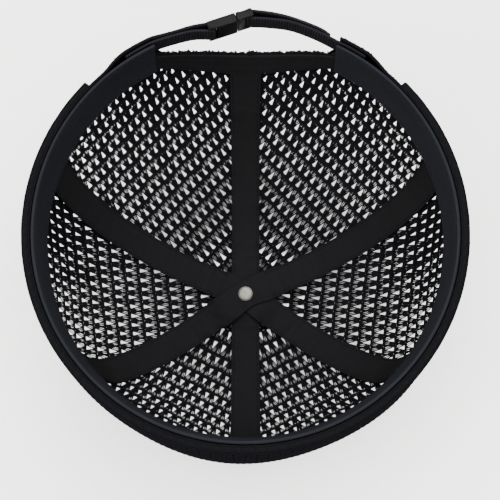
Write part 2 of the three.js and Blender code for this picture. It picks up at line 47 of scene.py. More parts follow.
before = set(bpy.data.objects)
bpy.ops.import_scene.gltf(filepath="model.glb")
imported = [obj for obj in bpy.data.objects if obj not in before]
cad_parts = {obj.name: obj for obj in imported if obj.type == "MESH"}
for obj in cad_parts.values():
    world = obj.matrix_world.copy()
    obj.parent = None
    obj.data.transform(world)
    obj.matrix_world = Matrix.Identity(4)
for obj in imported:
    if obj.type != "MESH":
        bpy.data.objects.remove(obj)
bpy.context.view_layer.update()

MM = 0.001
QUARTER = math.pi / 2
# The camera, which is also the point from which the net's rows run straight
EYE = (0.0, -0.0846, 0.5453)

# Layers of the wall, outwards from the crown's middle surface
BAND_IN, BAND_OUT = -0.8 * MM, 0.8 * MM
NET_IN, NET_OUT = 1.4 * MM, 2.6 * MM
NET_MIDDLE = (NET_IN + NET_OUT) / 2
TAPE_OUT, TAPE_IN = 0.8 * MM, -0.2 * MM
BINDING_OUT, BINDING_IN = 0.8 * MM, -0.4 * MM
TAPE_STEP = 1.6 * MM           # from one tape to the tape that lies on it
FLOOR = 0.02 * MM              # no yarn goes lower
ROPE = np.linspace(0, 2 * math.pi, 9)[None, :-1]       # angles of a rope's eight corners

# Seams, degrees round the crown from +X, and the panels between them.
# The net's holes point to the crown (1) or to the rim (-1).
SEAMS = {"back": 90.0, "back_left": 157.9, "front_left": 216.7, "front": 270.0,
         "front_right": 323.3, "back_right": 382.1}
CUFF_END = 47.2                # degrees from the back seam to each end of the cuff
PANELS = (
    {"node": "mesh_panel_back_left", "start": "back", "end": "back_left", "tip": -1},
    {"node": "mesh_panel_side_left", "start": "back_left", "end": "front_left", "tip": 1},
    {"node": "mesh_panel_front_left", "start": "front_left", "end": "front", "tip": -1},
    {"node": "mesh_panel_front_right", "start": "front", "end": "front_right", "tip": -1},
    {"node": "mesh_panel_side_right", "start": "front_right", "end": "back_right", "tip": 1},
    {"node": "mesh_panel_back_right", "start": "back_right", "end": "back", "tip": -1},
)
TAPES = (
    {"node": "seam_tape_front_back", "one": "back", "two": "front", "level": 0},
    {"node": "seam_tape_left_back", "one": "back_left", "two": "front_right", "level": 1},
    {"node": "seam_tape_right_back", "one": "back_right", "two": "front_left", "level": 2},
)

# One cell of the net. A path is share across from the hole's middle and share along from the hole's
# base to the next course; wide and thick are shares of the yarn; mirrored strands stand on both sides.
NET_CELL = (
    {"path": ((0.36, 0.00), (0.285, 0.14), (0.135, 0.50), (0.01, 0.93)),
     "wide": 1.7, "thick": 0.85, "lift": 0.10, "mirror": True},
    {"path": ((0.44, 0.02), (0.375, 0.25), (0.28, 0.58), (0.20, 0.93)),
     "wide": 1.4, "thick": 0.7, "lift": -0.05, "mirror": True},
    {"path": ((0.485, 0.06), (0.46, 0.34), (0.425, 0.62), (0.37, 0.93)),
     "wide": 1.3, "thick": 0.7, "lift": -0.15, "mirror": True},
    {"path": ((0.50, 0.03), (0.50, 0.33), (0.50, 0.62), (0.50, 0.93)),
     "wide": 1.25, "thick": 0.85, "lift": 0.0, "mirror": False},
)
# Yarns that run on across the rows: share along, wave as a share of a cell, width and thickness
NET_COURSES = (
    {"along": 0.87, "wave": 0.020, "wide": 1.6, "thick": 0.95, "lift": -0.10},
    {"along": 0.955, "wave": -0.014, "wide": 1.75, "thick": 1.1, "lift": 0.12},
    {"along": 1.04, "wave": 0.026, "wide": 1.55, "thick": 1.0, "lift": 0.0},
)
STEPS_A_CELL = 4               # of a course's path


def size(name, description, default):
    """A length in metres that a user may change."""
    return FloatProperty(name=name, description=description, default=default, unit="LENGTH")


def hue(name, description, default):
    """A colour that a user may change, as an sRGB hex value."""
    return StringProperty(name=name, description=description, default=default)


class CrownSizes(bpy.types.PropertyGroup):
    """Form of the hollow crown."""

    head_width: size("Hollow width", "Hollow at the rim, side to side", 0.1872)
    head_length: size("Hollow length", "Hollow at the rim, front to back", 0.186)
    depth: size("Crown depth", "Rim to the resting area, at the wall's middle", 0.1067)
    forward: size("Button forward", "From the rim's middle to the button", 0.0168)
    fullness: FloatProperty(name="Back fullness", description="Swelling of the back as a share of the radius",
                            default=0.05)
    rest: size("Resting radius", "Radius that the floor presses flat", 0.030)
    lift: size("Button lift", "How far the button pushes the cloth up", 0.003)
    button: size("Button radius", "Radius of the covered button", 0.0075)


class SewnSizes(bpy.types.PropertyGroup):
    """Widths of the sewn parts."""

    tape: size("Tape width", "Width of the seam tapes", 0.015)
    sweatband: size("Sweatband height", "Height of the sweatband", 0.030)
    binding: size("Binding width", "Width of the binding round the opening", 0.0125)
    cuff: size("Cuff height", "Height of the rolled cuff", 0.045)
    opening_width: size("Opening width", "Width of the opening at the back", 0.082)
    opening_height: size("Opening height", "Height of the opening at the back", 0.034)
    opening_side: size("Opening side", "Straight part of the opening's sides", 0.016)
    stitch: size("Stitch length", "Length of one stitch", 0.0026)


class NetSizes(bpy.types.PropertyGroup):
    """The knitted net."""

    across: size("Cell width", "Pitch of the holes along a row", 0.00475)
    along: size("Cell length", "Pitch of the rows", 0.0079)
    close: FloatProperty(name="Closing up", description="Share by which the rows close up from crown to rim",
                         default=0.22)
    flatten: FloatProperty(name="Flattening", description="Share by which the yarns are wider at the rim",
                           default=0.36)
    yarn: size("Yarn", "Thickness of one yarn", 0.00046)
    wander: FloatProperty(name="Wander", description="How far a knot strays, as a share of a cell",
                          default=0.035)
    seed: IntProperty(name="Seed", description="Start of the random draws", default=7)


class Finishes(bpy.types.PropertyGroup):
    """Colours of the cloths, the hard parts and the floor."""

    net: hue("Net", "Filament yarn of the net", "#0a0a0c")
    tape: hue("Tape", "Twill of the seam tapes", "#121213")
    sweatband: hue("Sweatband", "Tricot of the sweatband", "#17181b")
    lining: hue("Lining", "Plain cloth behind the net", "#0b0b0c")
    webbing: hue("Webbing", "Ribbed webbing", "#151517")
    # The thread's colour with painted shade in its hollows, and its paler colour as a painted highlight on
    # its ridges
    thread: hue("Thread", "Sewing thread in its hollows", "#0c0c0e")
    ply: hue("Thread ridges", "Sewing thread on its ridges", "#121214")
    buckle: hue("Buckle", "Moulded acetal", "#070708")
    rivet: hue("Rivet", "Nickel plate", "#55544f")
    floor: hue("Floor", "Pale floor", "#fbfaf8")


def linear(code):
    """An sRGB hex value as a linear colour with full alpha."""
    parts = [int(code[i:i + 2], 16) / 255 for i in (1, 3, 5)]
    return tuple(p / 12.92 if p <= 0.04045 else ((p + 0.055) / 1.055) ** 2.4 for p in parts) + (1.0,)


def smooth(value, low, high):
    """Rises from 0 to 1 between low and high as 3t^2 - 2t^3."""
    t = np.clip((np.asarray(value, float) - low) / (high - low), 0, 1)
    return t * t * (3 - 2 * t)


def from_back(degrees):
    """Degrees between a place round the crown and the back seam."""
    return np.abs((np.asarray(degrees, float) - 90 + 540) % 360 - 180)


class Crown:
    """The crown's middle surface, for whole arrays of points.

    turn runs from 0 at the rim to a quarter circle at the button. The radius is the rim's radius times
    the cosine of turn, and the depth is the full depth times the sine of turn to the power 2/3. The back
    swells and the front tucks in a half sine of the depth, the whole leans forward in step with the
    depth, the floor presses the end flat and the button pushes a seat back up.
    """

    SAMPLES = 1600
    PRESS = 0.8 * MM               # over which the floor's pressing sets in
    SLOPE = 0.74                   # share of the resting radius where the seat's slope ends
    SEAT_ROOM = 1.5 * MM           # of the seat round the button
    SWELLING = 0.6                 # share of the full depth over which the back swells
    STEP = 0.004                   # to either side, for the wall's slopes
    # The net stands off beside the opening: how far, the degrees past the opening's corner between
    # which that grows and fades, and the depth from which it fades to a place below the sweatband
    STAND_OFF = {"out": 2.4 * MM, "grows": (-4, 0), "fades": (8, 17), "depth": 18 * MM, "below": 6 * MM}
    # Newton's method: rounds, distance of its probes and longest step
    ROUNDS, PROBE, LONGEST = 14, 0.1 * MM, 8 * MM

    def __init__(self, sizes, sewn):
        self.sizes, self.sewn = sizes, sewn
        self.half_x = sizes.head_width / 2
        self.half_y = sizes.head_length / 2
        self.mean = (self.half_x + self.half_y) / 2
        self.full = sizes.depth / (1 - (sizes.rest / self.mean) ** 2) ** (1 / 3)
        self.rim = sizes.depth + NET_OUT
        low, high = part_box("top_button")
        self.shift = (low[1] + high[1]) / 2 + sizes.forward
        self.seat = sizes.button + self.SEAT_ROOM
        self.turns = np.linspace(0, QUARTER, self.SAMPLES)
        side = self.point(np.full(self.SAMPLES, math.pi), self.turns)[:, (0, 2)]
        steps = np.linalg.norm(np.diff(side, axis=0), axis=1)
        self.lengths = np.concatenate(([0.0], np.cumsum(steps)))
        self.total = self.lengths[-1]
        # Half of the opening at the back, in degrees, and the arc that the sweatband covers
        self.gap = 90 - math.degrees(math.acos(sewn.opening_width / 2 / self.half_x))
        self.girth = math.radians(360 - 2 * self.gap) * self.mean

    def point(self, angle, turn):
        """Points of the middle surface, by the formula above."""
        raw = self.full * np.clip(np.sin(turn), 0, 1) ** (2 / 3)
        share = np.cos(turn)
        pressed = raw - self.PRESS * np.log1p(np.exp((raw - self.sizes.depth) / self.PRESS))
        slope = smooth(share * self.mean, self.seat, self.sizes.rest * self.SLOPE)
        depth = pressed - self.sizes.lift * (1 - slope)
        swell = self.sizes.fullness * np.sin(math.pi * np.clip(raw / (self.SWELLING * self.full), 0, 1))
        k = share * (1 + swell * np.sin(angle))
        y = self.half_y * k * np.sin(angle) - self.sizes.forward * raw / self.full + self.shift
        return np.stack((self.half_x * k * np.cos(angle), y, self.rim - depth), axis=-1)

    def wall(self, angle, length, out):
        """The middle surface moved outwards along its normal, found from the slopes on both sides."""
        places = (angle, self.turn_at(length), out)
        angle, turn, out = np.broadcast_arrays(*(np.asarray(v, float) for v in places))
        low = np.clip(turn - self.STEP, 0, QUARTER - 2 * self.STEP)
        up = self.point(angle, low + 2 * self.STEP) - self.point(angle, low)
        ring = np.clip(turn, 0, QUARTER - self.STEP)
        around = self.point(angle + self.STEP, ring) - self.point(angle - self.STEP, ring)
        normal = np.cross(up, around)
        normal /= np.linalg.norm(normal, axis=-1, keepdims=True)
        return self.point(angle, turn) + normal * out[..., None]

    def below(self, angle, depth, out):
        """The wall at a depth below the rim."""
        return self.wall(angle, self.length_at_depth(depth), out)

    def turn_at(self, length):
        """Turn at a length up the side from the rim, read off the measured side."""
        return np.interp(length, self.lengths, self.turns)

    def radius_at(self, length):
        """The mean rim's radius times the cosine of turn."""
        return self.mean * np.cos(self.turn_at(length))

    def depth_at(self, length):
        """The full depth times the sine of turn to the power 2/3."""
        return self.full * np.sin(self.turn_at(length)) ** (2 / 3)

    def length_at_depth(self, depth):
        """The other way round: turn is the arc sine of the depth's share to the power 3/2."""
        turn = np.arcsin(np.clip(np.asarray(depth, float) / self.full, 0, 1) ** 1.5)
        return np.interp(turn, self.turns, self.lengths)

    def unrolled(self, flat):
        """Angle and length of a place on the crown laid flat round the button."""
        return np.arctan2(flat[..., 1], flat[..., 0]), self.total - np.hypot(flat[..., 0], flat[..., 1])

    def opening_depth(self, degrees):
        """Edge of the opening below the rim: a straight side, then a parabola over the middle."""
        x = self.half_x * np.cos(np.radians(degrees)) / (self.sewn.opening_width / 2)
        side = self.sewn.opening_side
        return side + (self.sewn.opening_height - side) * (1 - np.minimum(x * x, 1))

    def stand_off(self, degrees, depth):
        """The net stands off beside the opening, where the webbing goes in behind it."""
        away = from_back(degrees) - self.gap
        rule = self.STAND_OFF
        side = smooth(away, *rule["grows"]) * (1 - smooth(away, *rule["fades"]))
        return rule["out"] * side * (1 - smooth(depth, rule["depth"], self.sewn.sweatband + rule["below"]))

    def lay_rows(self, middle):
        """Rows of a pulled net for places (across, length up the middle line): angle, length and miss.

        A row starts as a straight line square to the panel's middle line, and each of its points slides
        along its line of sight from the eye until it meets the crown. The place is found by Newton's
        method on the crown laid flat round the button, and miss is what is left, as a slope from the eye.
        """
        eye = np.array(EYE)
        ahead = np.array((-math.sin(middle), math.cos(middle), 0.0))
        near = self.total - 0.2 * MM

        def seen(points):
            """Where points lie in the view: slopes of their lines of sight."""
            rays = points - eye
            return rays[..., :2] / -rays[..., 2:]

        def from_flat(flat):
            """The same for places on the flattened crown."""
            angle, length = self.unrolled(flat)
            return seen(self.point(angle, self.turn_at(length)))

        def cross(a, b):
            """Area between two flat vectors."""
            return a[..., 0] * b[..., 1] - a[..., 1] * b[..., 0]

        def place(across, along):
            bar = self.point(np.full(along.shape, middle), self.turn_at(along)) + ahead * across[..., None]
            target = seen(bar)
            away = self.total - along
            swing = middle + across / np.maximum(self.radius_at(along), 4 * MM) * 0.8
            flat = np.stack((away * np.cos(swing), away * np.sin(swing)), axis=-1)
            for _ in range(self.ROUNDS):
                here = from_flat(flat)
                gap = target - here
                dx = (from_flat(flat + (self.PROBE, 0)) - here) / self.PROBE
                dy = (from_flat(flat + (0, self.PROBE)) - here) / self.PROBE
                area = cross(dx, dy)
                area = np.where(np.abs(area) < 1e-3, 1e-3, area)
                step = np.stack((cross(gap, dy), cross(dx, gap)), axis=-1) / area[..., None]
                size = np.linalg.norm(step, axis=-1, keepdims=True)
                flat = flat + step * np.minimum(1, self.LONGEST / np.maximum(size, 1e-9))
                far = np.linalg.norm(flat, axis=-1, keepdims=True)
                flat = flat * np.minimum(1, near / np.maximum(far, 1e-9))
            return *self.unrolled(flat), np.linalg.norm(target - from_flat(flat), axis=-1)
        return place


def sizes():
    """The four property groups of this scene."""
    scene = bpy.context.scene
    return [getattr(scene, name) for name in GROUPS]


def cap():
    """The crown and the net's sizes."""
    crown, sewn, net, _ = sizes()
    return Crown(crown, sewn), net


def new_mesh(name, points, quads, material, polygons=(), uv=None):
    """A mesh object from arrays of points and faces; uv has one pair for each point."""
    points = np.asarray(points, np.float32).reshape(-1, 3)
    quads = np.asarray(quads, np.int32).reshape(-1, 4)
    loops = np.concatenate([quads.ravel()] + [np.asarray(p, np.int32) for p in polygons]).astype(np.int32)
    totals = np.concatenate((np.full(len(quads), 4), [len(p) for p in polygons])).astype(np.int32)
    mesh = bpy.data.meshes.new(name)
    mesh.vertices.add(len(points))
    mesh.vertices.foreach_set("co", points.ravel())
    mesh.loops.add(len(loops))
    mesh.loops.foreach_set("vertex_index", loops)
    mesh.polygons.add(len(totals))
    mesh.polygons.foreach_set("loop_start", np.concatenate(([0], np.cumsum(totals)[:-1])).astype(np.int32))
    mesh.polygons.foreach_set("loop_total", totals)
    if uv is not None:
        layer = mesh.uv_layers.new(name="Cloth")
        layer.data.foreach_set("uv", np.asarray(uv, np.float32).reshape(-1, 2)[loops].ravel())
    mesh.update(calc_edges=True)
    mesh.polygons.foreach_set("use_smooth", np.ones(len(totals), bool))
    mesh.materials.append(material)
    piece = bpy.data.objects.new(name, mesh)
    bpy.context.scene.collection.objects.link(piece)
    face_outwards(mesh, points)
    return piece


def face_outwards(mesh, points):
    """Turns a closed mesh round if the sum of its signed volumes is below zero."""
    mesh.calc_loop_triangles()
    corners = np.empty(len(mesh.loop_triangles) * 3, np.int32)
    mesh.loop_triangles.foreach_get("vertices", corners)
    a, b, c = points[corners.reshape(-1, 3)].transpose(1, 0, 2).astype(float)
    middle = points.mean(axis=0)
    if np.einsum("ij,ij->", a - middle, np.cross(b - middle, c - middle)) < 0:
        mesh.flip_normals()


def swept(name, rings, material, uv=None):
    """A closed skin over rings (rows, points, 3), with its two ends capped."""
    rows, count = rings.shape[:2]
    a = np.arange(rows - 1)[:, None] * count + np.arange(count)
    b = np.roll(a, -1, axis=1)
    quads = np.stack((a, b, b + count, a + count), axis=-1)
    caps = (np.arange(count)[::-1], (rows - 1) * count + np.arange(count))
    return new_mesh(name, rings, quads, material, polygons=caps, uv=uv)


def strands(centres, normals, wide, thick):
    """Tubes with four sides along many short paths at once.

    centres and normals are (number, points, 3). Each ring has a corner to either side at half of wide,
    square to the path and the cloth's normal, and one above and one below at half of thick.
    """
    number, count = centres.shape[:2]
    wide, thick = (np.broadcast_to(np.asarray(v, float), (number, count))[..., None, None]
                   for v in (wide, thick))
    side = np.cross(normals, np.gradient(centres, axis=1))
    side /= np.maximum(np.linalg.norm(side, axis=-1, keepdims=True), 1e-9)
    turn = np.arange(4)[:, None] * QUARTER
    rings = (centres[..., None, :] + side[..., None, :] * (wide / 2) * np.cos(turn)
             + normals[..., None, :] * (thick / 2) * np.sin(turn))
    ids = np.arange(number * count * 4).reshape(number, count, 4)
    a, b = ids[:, :-1], np.roll(ids[:, :-1], -1, axis=2)
    sides = np.stack((a, b, b + 4, a + 4), axis=-1)
    return rings.reshape(-1, 3), np.concatenate((sides.reshape(-1, 4), ids[:, 0, ::-1], ids[:, -1]))


def normals_of(place, *at):
    """Outward normals where place(..., out) puts a surface, from the points at 0 and at 1 mm out."""
    step = place(*at, MM) - place(*at, 0.0)
    return step / np.linalg.norm(step, axis=-1, keepdims=True)


def joined(parts):
    """Several (points, quads) sets as one."""
    starts = np.cumsum([0] + [len(points) for points, _ in parts])
    return (np.concatenate([points for points, _ in parts]),
            np.concatenate([quads + start for (_, quads), start in zip(parts, starts)]))


def pairs(one, two):
    """Values down the rows and along the columns as a grid of pairs."""
    return np.stack(np.broadcast_arrays(one, two), axis=-1)


def finish_piece(piece, slot, *nodes):
    """Hangs a piece on the one body, in place of its nodes."""
    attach(piece, "root")
    if nodes:
        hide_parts(*nodes)
    return piece


# Materials

# Grain of each finish. Noise of scale 1 has one grain to the metre.
GRAIN = {"filament": 0.5263 * MM, "ply": 0.3846 * MM, "spark": 0.3125 * MM, "wear": 4.167 * MM,
         "scratch": 2.381 * MM, "streak": 16.67 * MM}


def feed(tree, node, links):
    """Gives inputs of a node a value each, or a link from another node's output."""
    for key, value in links.items():
        if isinstance(value, bpy.types.NodeSocket):
            tree.links.new(value, node.inputs[key])
        else:
            node.inputs[key].default_value = value


def put(tree, kind, output, links=None, **settings):
    """Adds one node with its own settings and what feeds it, and returns the output that is used."""
    node = tree.nodes.new(kind)
    for key, value in settings.items():
        setattr(node, key, value)
    feed(tree, node, links or {})
    return node.outputs[output]


def finish(name, build):
    """The material of that name. On first use build(tree, colours) adds its nodes and says what feeds it."""
    material = bpy.data.materials.get(name)
    if material is None:
        material = bpy.data.materials.new(name)
        material.use_nodes = True
        tree = material.node_tree
        feed(tree, tree.nodes["Principled BSDF"], build(tree, sizes()[3]))
    return material


def tinted(code, paler):
    """A hex value as a linear colour, and the same colour so many times paler."""
    colour = linear(code)
    return {"A": colour, "B": tuple(min(c * paler, 1) for c in colour[:3]) + (1.0,)}


def yarn_material():
    """Warp-knitted filament polyester: near black, with a painted sheen along each yarn and painted shade in
    its depths.
    """
    def build(tree, colours):
        place = put(tree, "ShaderNodeTexCoord", "Object")
        # Filaments of a few hundredths of a millimetre are drawn ten times as coarse so that they show
        filament_relief_and_sheen = put(tree, "ShaderNodeTexNoise", "Fac", {"Vector": place, "Scale": 1 / GRAIN["filament"]})
        # Painted sheen and painted shade: the same noise that raises the filaments makes the colour paler on
        # their tops and darker in their hollows
        tint = put(tree, "ShaderNodeMix", "Result", {"Factor": filament_relief_and_sheen, **tinted(colours.net, 2.2)},
                   data_type="RGBA")
        bump = put(tree, "ShaderNodeBump", "Normal", {
            "Height": filament_relief_and_sheen, "Strength": 0.5, "Distance": 0.2 * MM})
        return {"Base Color": tint, "Normal": bump, "Roughness": 0.6, "Specular IOR Level": 0.0}
    return finish("Knitted filament polyester", build)


def woven_material(name, colour, rib, twill, rough):
    """Woven or knitted flat cloth on its own map: ribs of the given pitch, slanted for a twill, with painted
    shade between the ribs.
    """
    def build(tree, colours):
        place = put(tree, "ShaderNodeUVMap", "UV", uv_map="Cloth")
        turned = put(tree, "ShaderNodeMapping", "Vector", {"Vector": place, "Rotation": (0, 0, twill)})
        scale = math.pi / (10 * rib)       # a wave of scale 1 repeats every tenth of pi
        ribs = put(tree, "ShaderNodeTexWave", "Fac", {
            "Vector": turned, "Scale": scale, "Distortion": 0.6, "Detail": 1.0, "Detail Scale": 3.0},
            bands_direction="Y")
        across = put(tree, "ShaderNodeTexWave", "Fac", {
            "Vector": turned, "Scale": scale * 0.8, "Distortion": 0.4}, bands_direction="X")
        weave = put(tree, "ShaderNodeMath", "Value", {0: ribs, 1: across}, operation="MULTIPLY")
        # Streaks along the ribs, where brushing has lifted the pile unevenly
        drawn = put(tree, "ShaderNodeMapping", "Vector", {"Vector": place, "Scale": (1.0, 7.0, 1.0)})
        cloud = put(tree, "ShaderNodeTexNoise", "Fac", {
            "Vector": drawn, "Scale": 1 / GRAIN["streak"], "Detail": 5.0})
        rib_shade_and_streaks = put(tree, "ShaderNodeMath", "Value", {0: weave, 1: cloud}, operation="MULTIPLY")
        # Painted shade: the colour is paler on the raised ribs and darker between them, and the streaks vary
        # it at random
        tint = put(tree, "ShaderNodeMix", "Result", {"Factor": rib_shade_and_streaks, **tinted(getattr(colours, colour), 3.2)},
                   data_type="RGBA")
        bump = put(tree, "ShaderNodeBump", "Normal", {
            "Height": weave, "Strength": 0.55, "Distance": 0.25 * MM})
        # Matte to the edge: these fibres scatter light and have no clear-cut surface to mirror it
        return {"Base Color": tint, "Normal": bump, "Roughness": rough, "Specular IOR Level": 0.0}
    return finish(name, build)


def thread_material():
    """Spun polyester sewing thread: a shade lighter than the cloth, with painted shade in the hollows of its
    ply and a painted highlight on its ridges.
    """
    def build(tree, colours):
        place = put(tree, "ShaderNodeTexCoord", "Object")
        ply = put(tree, "ShaderNodeTexNoise", "Fac", {"Vector": place, "Scale": 1 / GRAIN["ply"]})
        bump = put(tree, "ShaderNodeBump", "Normal", {"Height": ply, "Strength": 0.4, "Distance": 0.1 * MM})
        # Painted shade and highlight: the colour follows the bump, darker in the ply's hollows and paler on
        # its ridges
        tint = put(tree, "ShaderNodeMix", "Result", {
            "Factor": ply, "A": linear(colours.thread), "B": linear(colours.ply)}, data_type="RGBA")
        return {"Base Color": tint, "Normal": bump, "Roughness": 0.5, "Specular IOR Level": 0.0}
    return finish("Spun polyester thread", build)


def acetal_material():
    """Injection-moulded acetal: dense black, satin, with the mould's fine spark grain."""
    def build(tree, colours):
        place = put(tree, "ShaderNodeTexCoord", "Object")
        spark = put(tree, "ShaderNodeTexNoise", "Fac", {
            "Vector": place, "Scale": 1 / GRAIN["spark"], "Detail": 3.0})
        wear = put(tree, "ShaderNodeTexNoise", "Fac", {
            "Vector": place, "Scale": 1 / GRAIN["wear"], "Detail": 5.0})
        rough = put(tree, "ShaderNodeMapRange", "Result", {"Value": wear, "To Min": 0.34, "To Max": 0.52})
        bump = put(tree, "ShaderNodeBump", "Normal", {
            "Height": spark, "Strength": 0.25, "Distance": 0.1 * MM})
        return {"Base Color": linear(colours.buckle), "Normal": bump, "Roughness": rough, "IOR": 1.48,
                "Specular IOR Level": 0.06}
    return finish("Moulded acetal", build)


def nickel_material():
    """Nickel-plated steel, tumbled: silver grey with soft scratches."""
    def build(tree, colours):
        place = put(tree, "ShaderNodeTexCoord", "Object")
        cloud = put(tree, "ShaderNodeTexNoise", "Fac", {
            "Vector": place, "Scale": 1 / GRAIN["scratch"], "Detail": 6.0})
        rough = put(tree, "ShaderNodeMapRange", "Result", {"Value": cloud, "To Min": 0.3, "To Max": 0.55})
        bump = put(tree, "ShaderNodeBump", "Normal", {
            "Height": cloud, "Strength": 0.12, "Distance": 0.2 * MM})
        return {"Base Color": linear(colours.rivet), "Normal": bump, "Roughness": rough, "Metallic": 1.0}
    return finish("Nickel-plated steel", build)


def floor_material():
    """Matte painted board under the cap: it spreads the light evenly."""
    return finish("Pale floor", lambda tree, colours: {
        "Base Color": linear(colours.floor), "Roughness": 0.75})


def twill():
    """Cotton-rich twill tape: matte, with slanted ribs 0.5 mm apart."""
    return woven_material("Twill tape", "tape", 0.5 * MM, math.radians(35), 0.85)


def tricot():
    """Brushed tricot of the sweatband: smooth, slightly blue, with ribs 0.7 mm apart along the band."""
    return woven_material("Brushed tricot", "sweatband", 0.7 * MM, 0.0, 0.6)


def lining_cloth():
    """Plain-woven lining behind the net of the cuff and rim: dull, with ribs 0.6 mm apart."""
    return woven_material("Cuff lining", "lining", 0.6 * MM, 0.0, 0.9)


# Net

NET_RIM = 2.4 * MM             # depth of the net's edge at the rim beside the opening
NET_TUCK = 6.5 * MM            # of the net behind the sweatband, past its upper edge
BEAD = {"strand": 0.16, "course": 0.12, "rise": 0.2}   # shares by which a yarn swells and a course rises
LOST = 0.002                   # slope that a place may miss its line of sight by
# The rope along a seam: half its width, half its thickness, pitch of its thread and share it swells by
ROLL = {"wide": 1.35 * MM, "thick": 0.62 * MM, "pitch": 1.6 * MM, "swell": 0.14, "inset": 0.1 * MM}
# The facing's place in the wall, and how much less high it is than the sweatband
FACING = {"in": NET_IN - 0.3 * MM, "out": NET_OUT - 0.4 * MM, "less": 5 * MM, "from": 1 * MM}


def net_cells(columns, rows, net):
    """Strands and courses of the net in cell coordinates, as (paths, wide, thick).

    columns and rows are whole numbers of cells. A point's place is its cell's number plus the share in
    NET_CELL. Each strand swells and thins in turn by a sixth, and each course swells where strands join.
    """
    sets = []

    def add(across, along, out, wide, thick):
        """Keeps one set of paths; out, wide and thick are shares of the yarn."""
        out, wide, thick = (np.broadcast_to(v, across.shape) * net.yarn for v in (out, wide, thick))
        sets.append((np.stack((across, along, out), axis=-1), wide, thick))

    i, j = (v.reshape(-1, 1) for v in np.meshgrid(columns, rows, indexing="ij"))
    for strand in NET_CELL:
        across, along = np.array(strand["path"]).T
        bead = 1 + BEAD["strand"] * np.where(np.arange(len(along)) % 2, 1, -1)
        for side in ((-1, 1) if strand["mirror"] else (1,)):
            add(i + 0.5 + side * across, j + along, strand["lift"], strand["wide"] * bead, strand["thick"])
    x = np.arange(columns[0] * STEPS_A_CELL, (columns[-1] + 1) * STEPS_A_CELL + 1) / STEPS_A_CELL
    for course in NET_COURSES:
        along = rows[:, None] + course["along"] + course["wave"] * np.cos(2 * math.pi * x)
        add(np.broadcast_to(x, along.shape), along,
            course["lift"] + BEAD["rise"] * np.sin(4 * math.pi * x),
            course["wide"] * (1 + BEAD["course"] * np.cos(8 * math.pi * x)), course["thick"])
    return sets


def stray(points, net, phase):
    """Slow sideways pull of the cloth, a sum of sines of the two cell coordinates."""
    x, y = points[..., 0], points[..., 1]
    dx = np.sin(1.7 * x + 0.9 * y + phase) + 0.7 * np.sin(3.1 * y - 1.3 * x + 2 * phase)
    dy = np.sin(1.3 * y - 2.1 * x + 3 * phase) + 0.7 * np.sin(2.7 * x + 1.1 * y + phase)
    moved = points.copy()
    moved[..., 0] += net.wander * dx
    moved[..., 1] += net.wander * 0.6 * dy
    return moved


def tubes_inside(centres, normals, wide, thick, outside):
    """Tubes along the stretches of yarn that lie in the panel: whole strands, and courses cell by cell."""
    tubes = []
    for start in range(0, centres.shape[1] - 1, STEPS_A_CELL):
        part = slice(start, start + STEPS_A_CELL + 1)
        out = outside[:, part]
        keep = out.sum(axis=1) < out.shape[1] - 1
        if keep.any():
            tubes.append(strands(*(v[keep, part] for v in (centres, normals, wide, thick))))
    return tubes


def panel_net(panel, crown, net, number):
    """One panel: a gore of net, cut along two seams and laid on the crown by Crown.lay_rows.

    In the cloth, x runs across from the middle line and y from the rim towards the button. The middle
    line is that of the panel's part of the sweatband. What passes a seam or an edge is held back to it.
    """
    start, end = SEAMS[panel["start"]], SEAMS[panel["end"]]
    end += 360 * (end < start)
    opens = "back" in (panel["start"], panel["end"])
    banded = start + crown.gap * (panel["start"] == "back"), end - crown.gap * (panel["end"] == "back")
    middle = math.radians(sum(banded) / 2)
    low = crown.length_at_depth(NET_RIM if opens else crown.sewn.sweatband) - NET_TUCK * (not opens)
    high = crown.total - crown.sizes.button * 0.8
    lay = crown.lay_rows(middle)
    room = 0.3 * MM / crown.mean
    edges = math.radians(start) - middle + room, math.radians(end) - middle - room

    def floor_at(degrees):
        """Where the cloth begins above the rim: over the opening's edge, or in the sweatband's seam."""
        arch = crown.length_at_depth(crown.opening_depth(degrees))
        return np.where(opens & (from_back(degrees) < crown.gap), arch, low)

    def on_crown(cloth):
        """Angle and length, both held inside the panel, and whether they were outside."""
        angle, length, miss = lay(cloth[..., 0], cloth[..., 1])
        angle = (angle - middle + math.pi) % (2 * math.pi) - math.pi
        floor = floor_at(np.degrees(middle + angle))
        outside = (angle < edges[0]) | (angle > edges[1]) | (length > high) | (length < floor)
        return middle + np.clip(angle, *edges), np.clip(length, floor, high), outside | (miss > LOST)

    half = math.ceil(crown.mean * max(-edges[0], edges[1]) * 1.1 / net.across) + 1
    closing = net.close * (panel["tip"] < 0)
    rows = np.arange(-2, math.ceil((high - low) / net.along * (1 + 0.7 * closing)) + 2)
    parts = []
    for paths, wide, thick in net_cells(np.arange(-half, half), rows, net):
        cloth = stray(paths, net, 1.3 * number)
        cloth[..., 0] *= net.across
        along = cloth[..., 1] * net.along
        along = along * (1 - closing * along / (2 * (high - low)))
        cloth[..., 1] = low + along if panel["tip"] > 0 else high - along
        angle, length, outside = on_crown(cloth)
        out = NET_MIDDLE + cloth[..., 2]
        if opens:
            out = out + crown.stand_off(np.degrees(angle), crown.depth_at(length))
        # The rows are drawn out where the crown is steep, and the yarns flatten with them
        wide = wide * (1 + net.flatten * np.clip(1 - length / high, 0, 1) ** 1.2)
        parts += tubes_inside(crown.wall(angle, length, out), normals_of(crown.wall, angle, length),
                              wide, thick, outside)
    points, quads = joined(parts)
    points[:, 2] = np.maximum(points[:, 2], FLOOR)
    piece = new_mesh("net_" + panel["node"].replace("mesh_panel_", ""), points, quads, yarn_material())
    finish_piece(piece, "net", panel["node"])
    length = np.linspace(low, high, 121)[None, :]
    spread = math.radians(end - start)
    covered = np.where(length > floor_at(np.linspace(start, end, 91)[:, None]), crown.radius_at(length), 0)
    inside = covered.mean() * spread * (high - low)


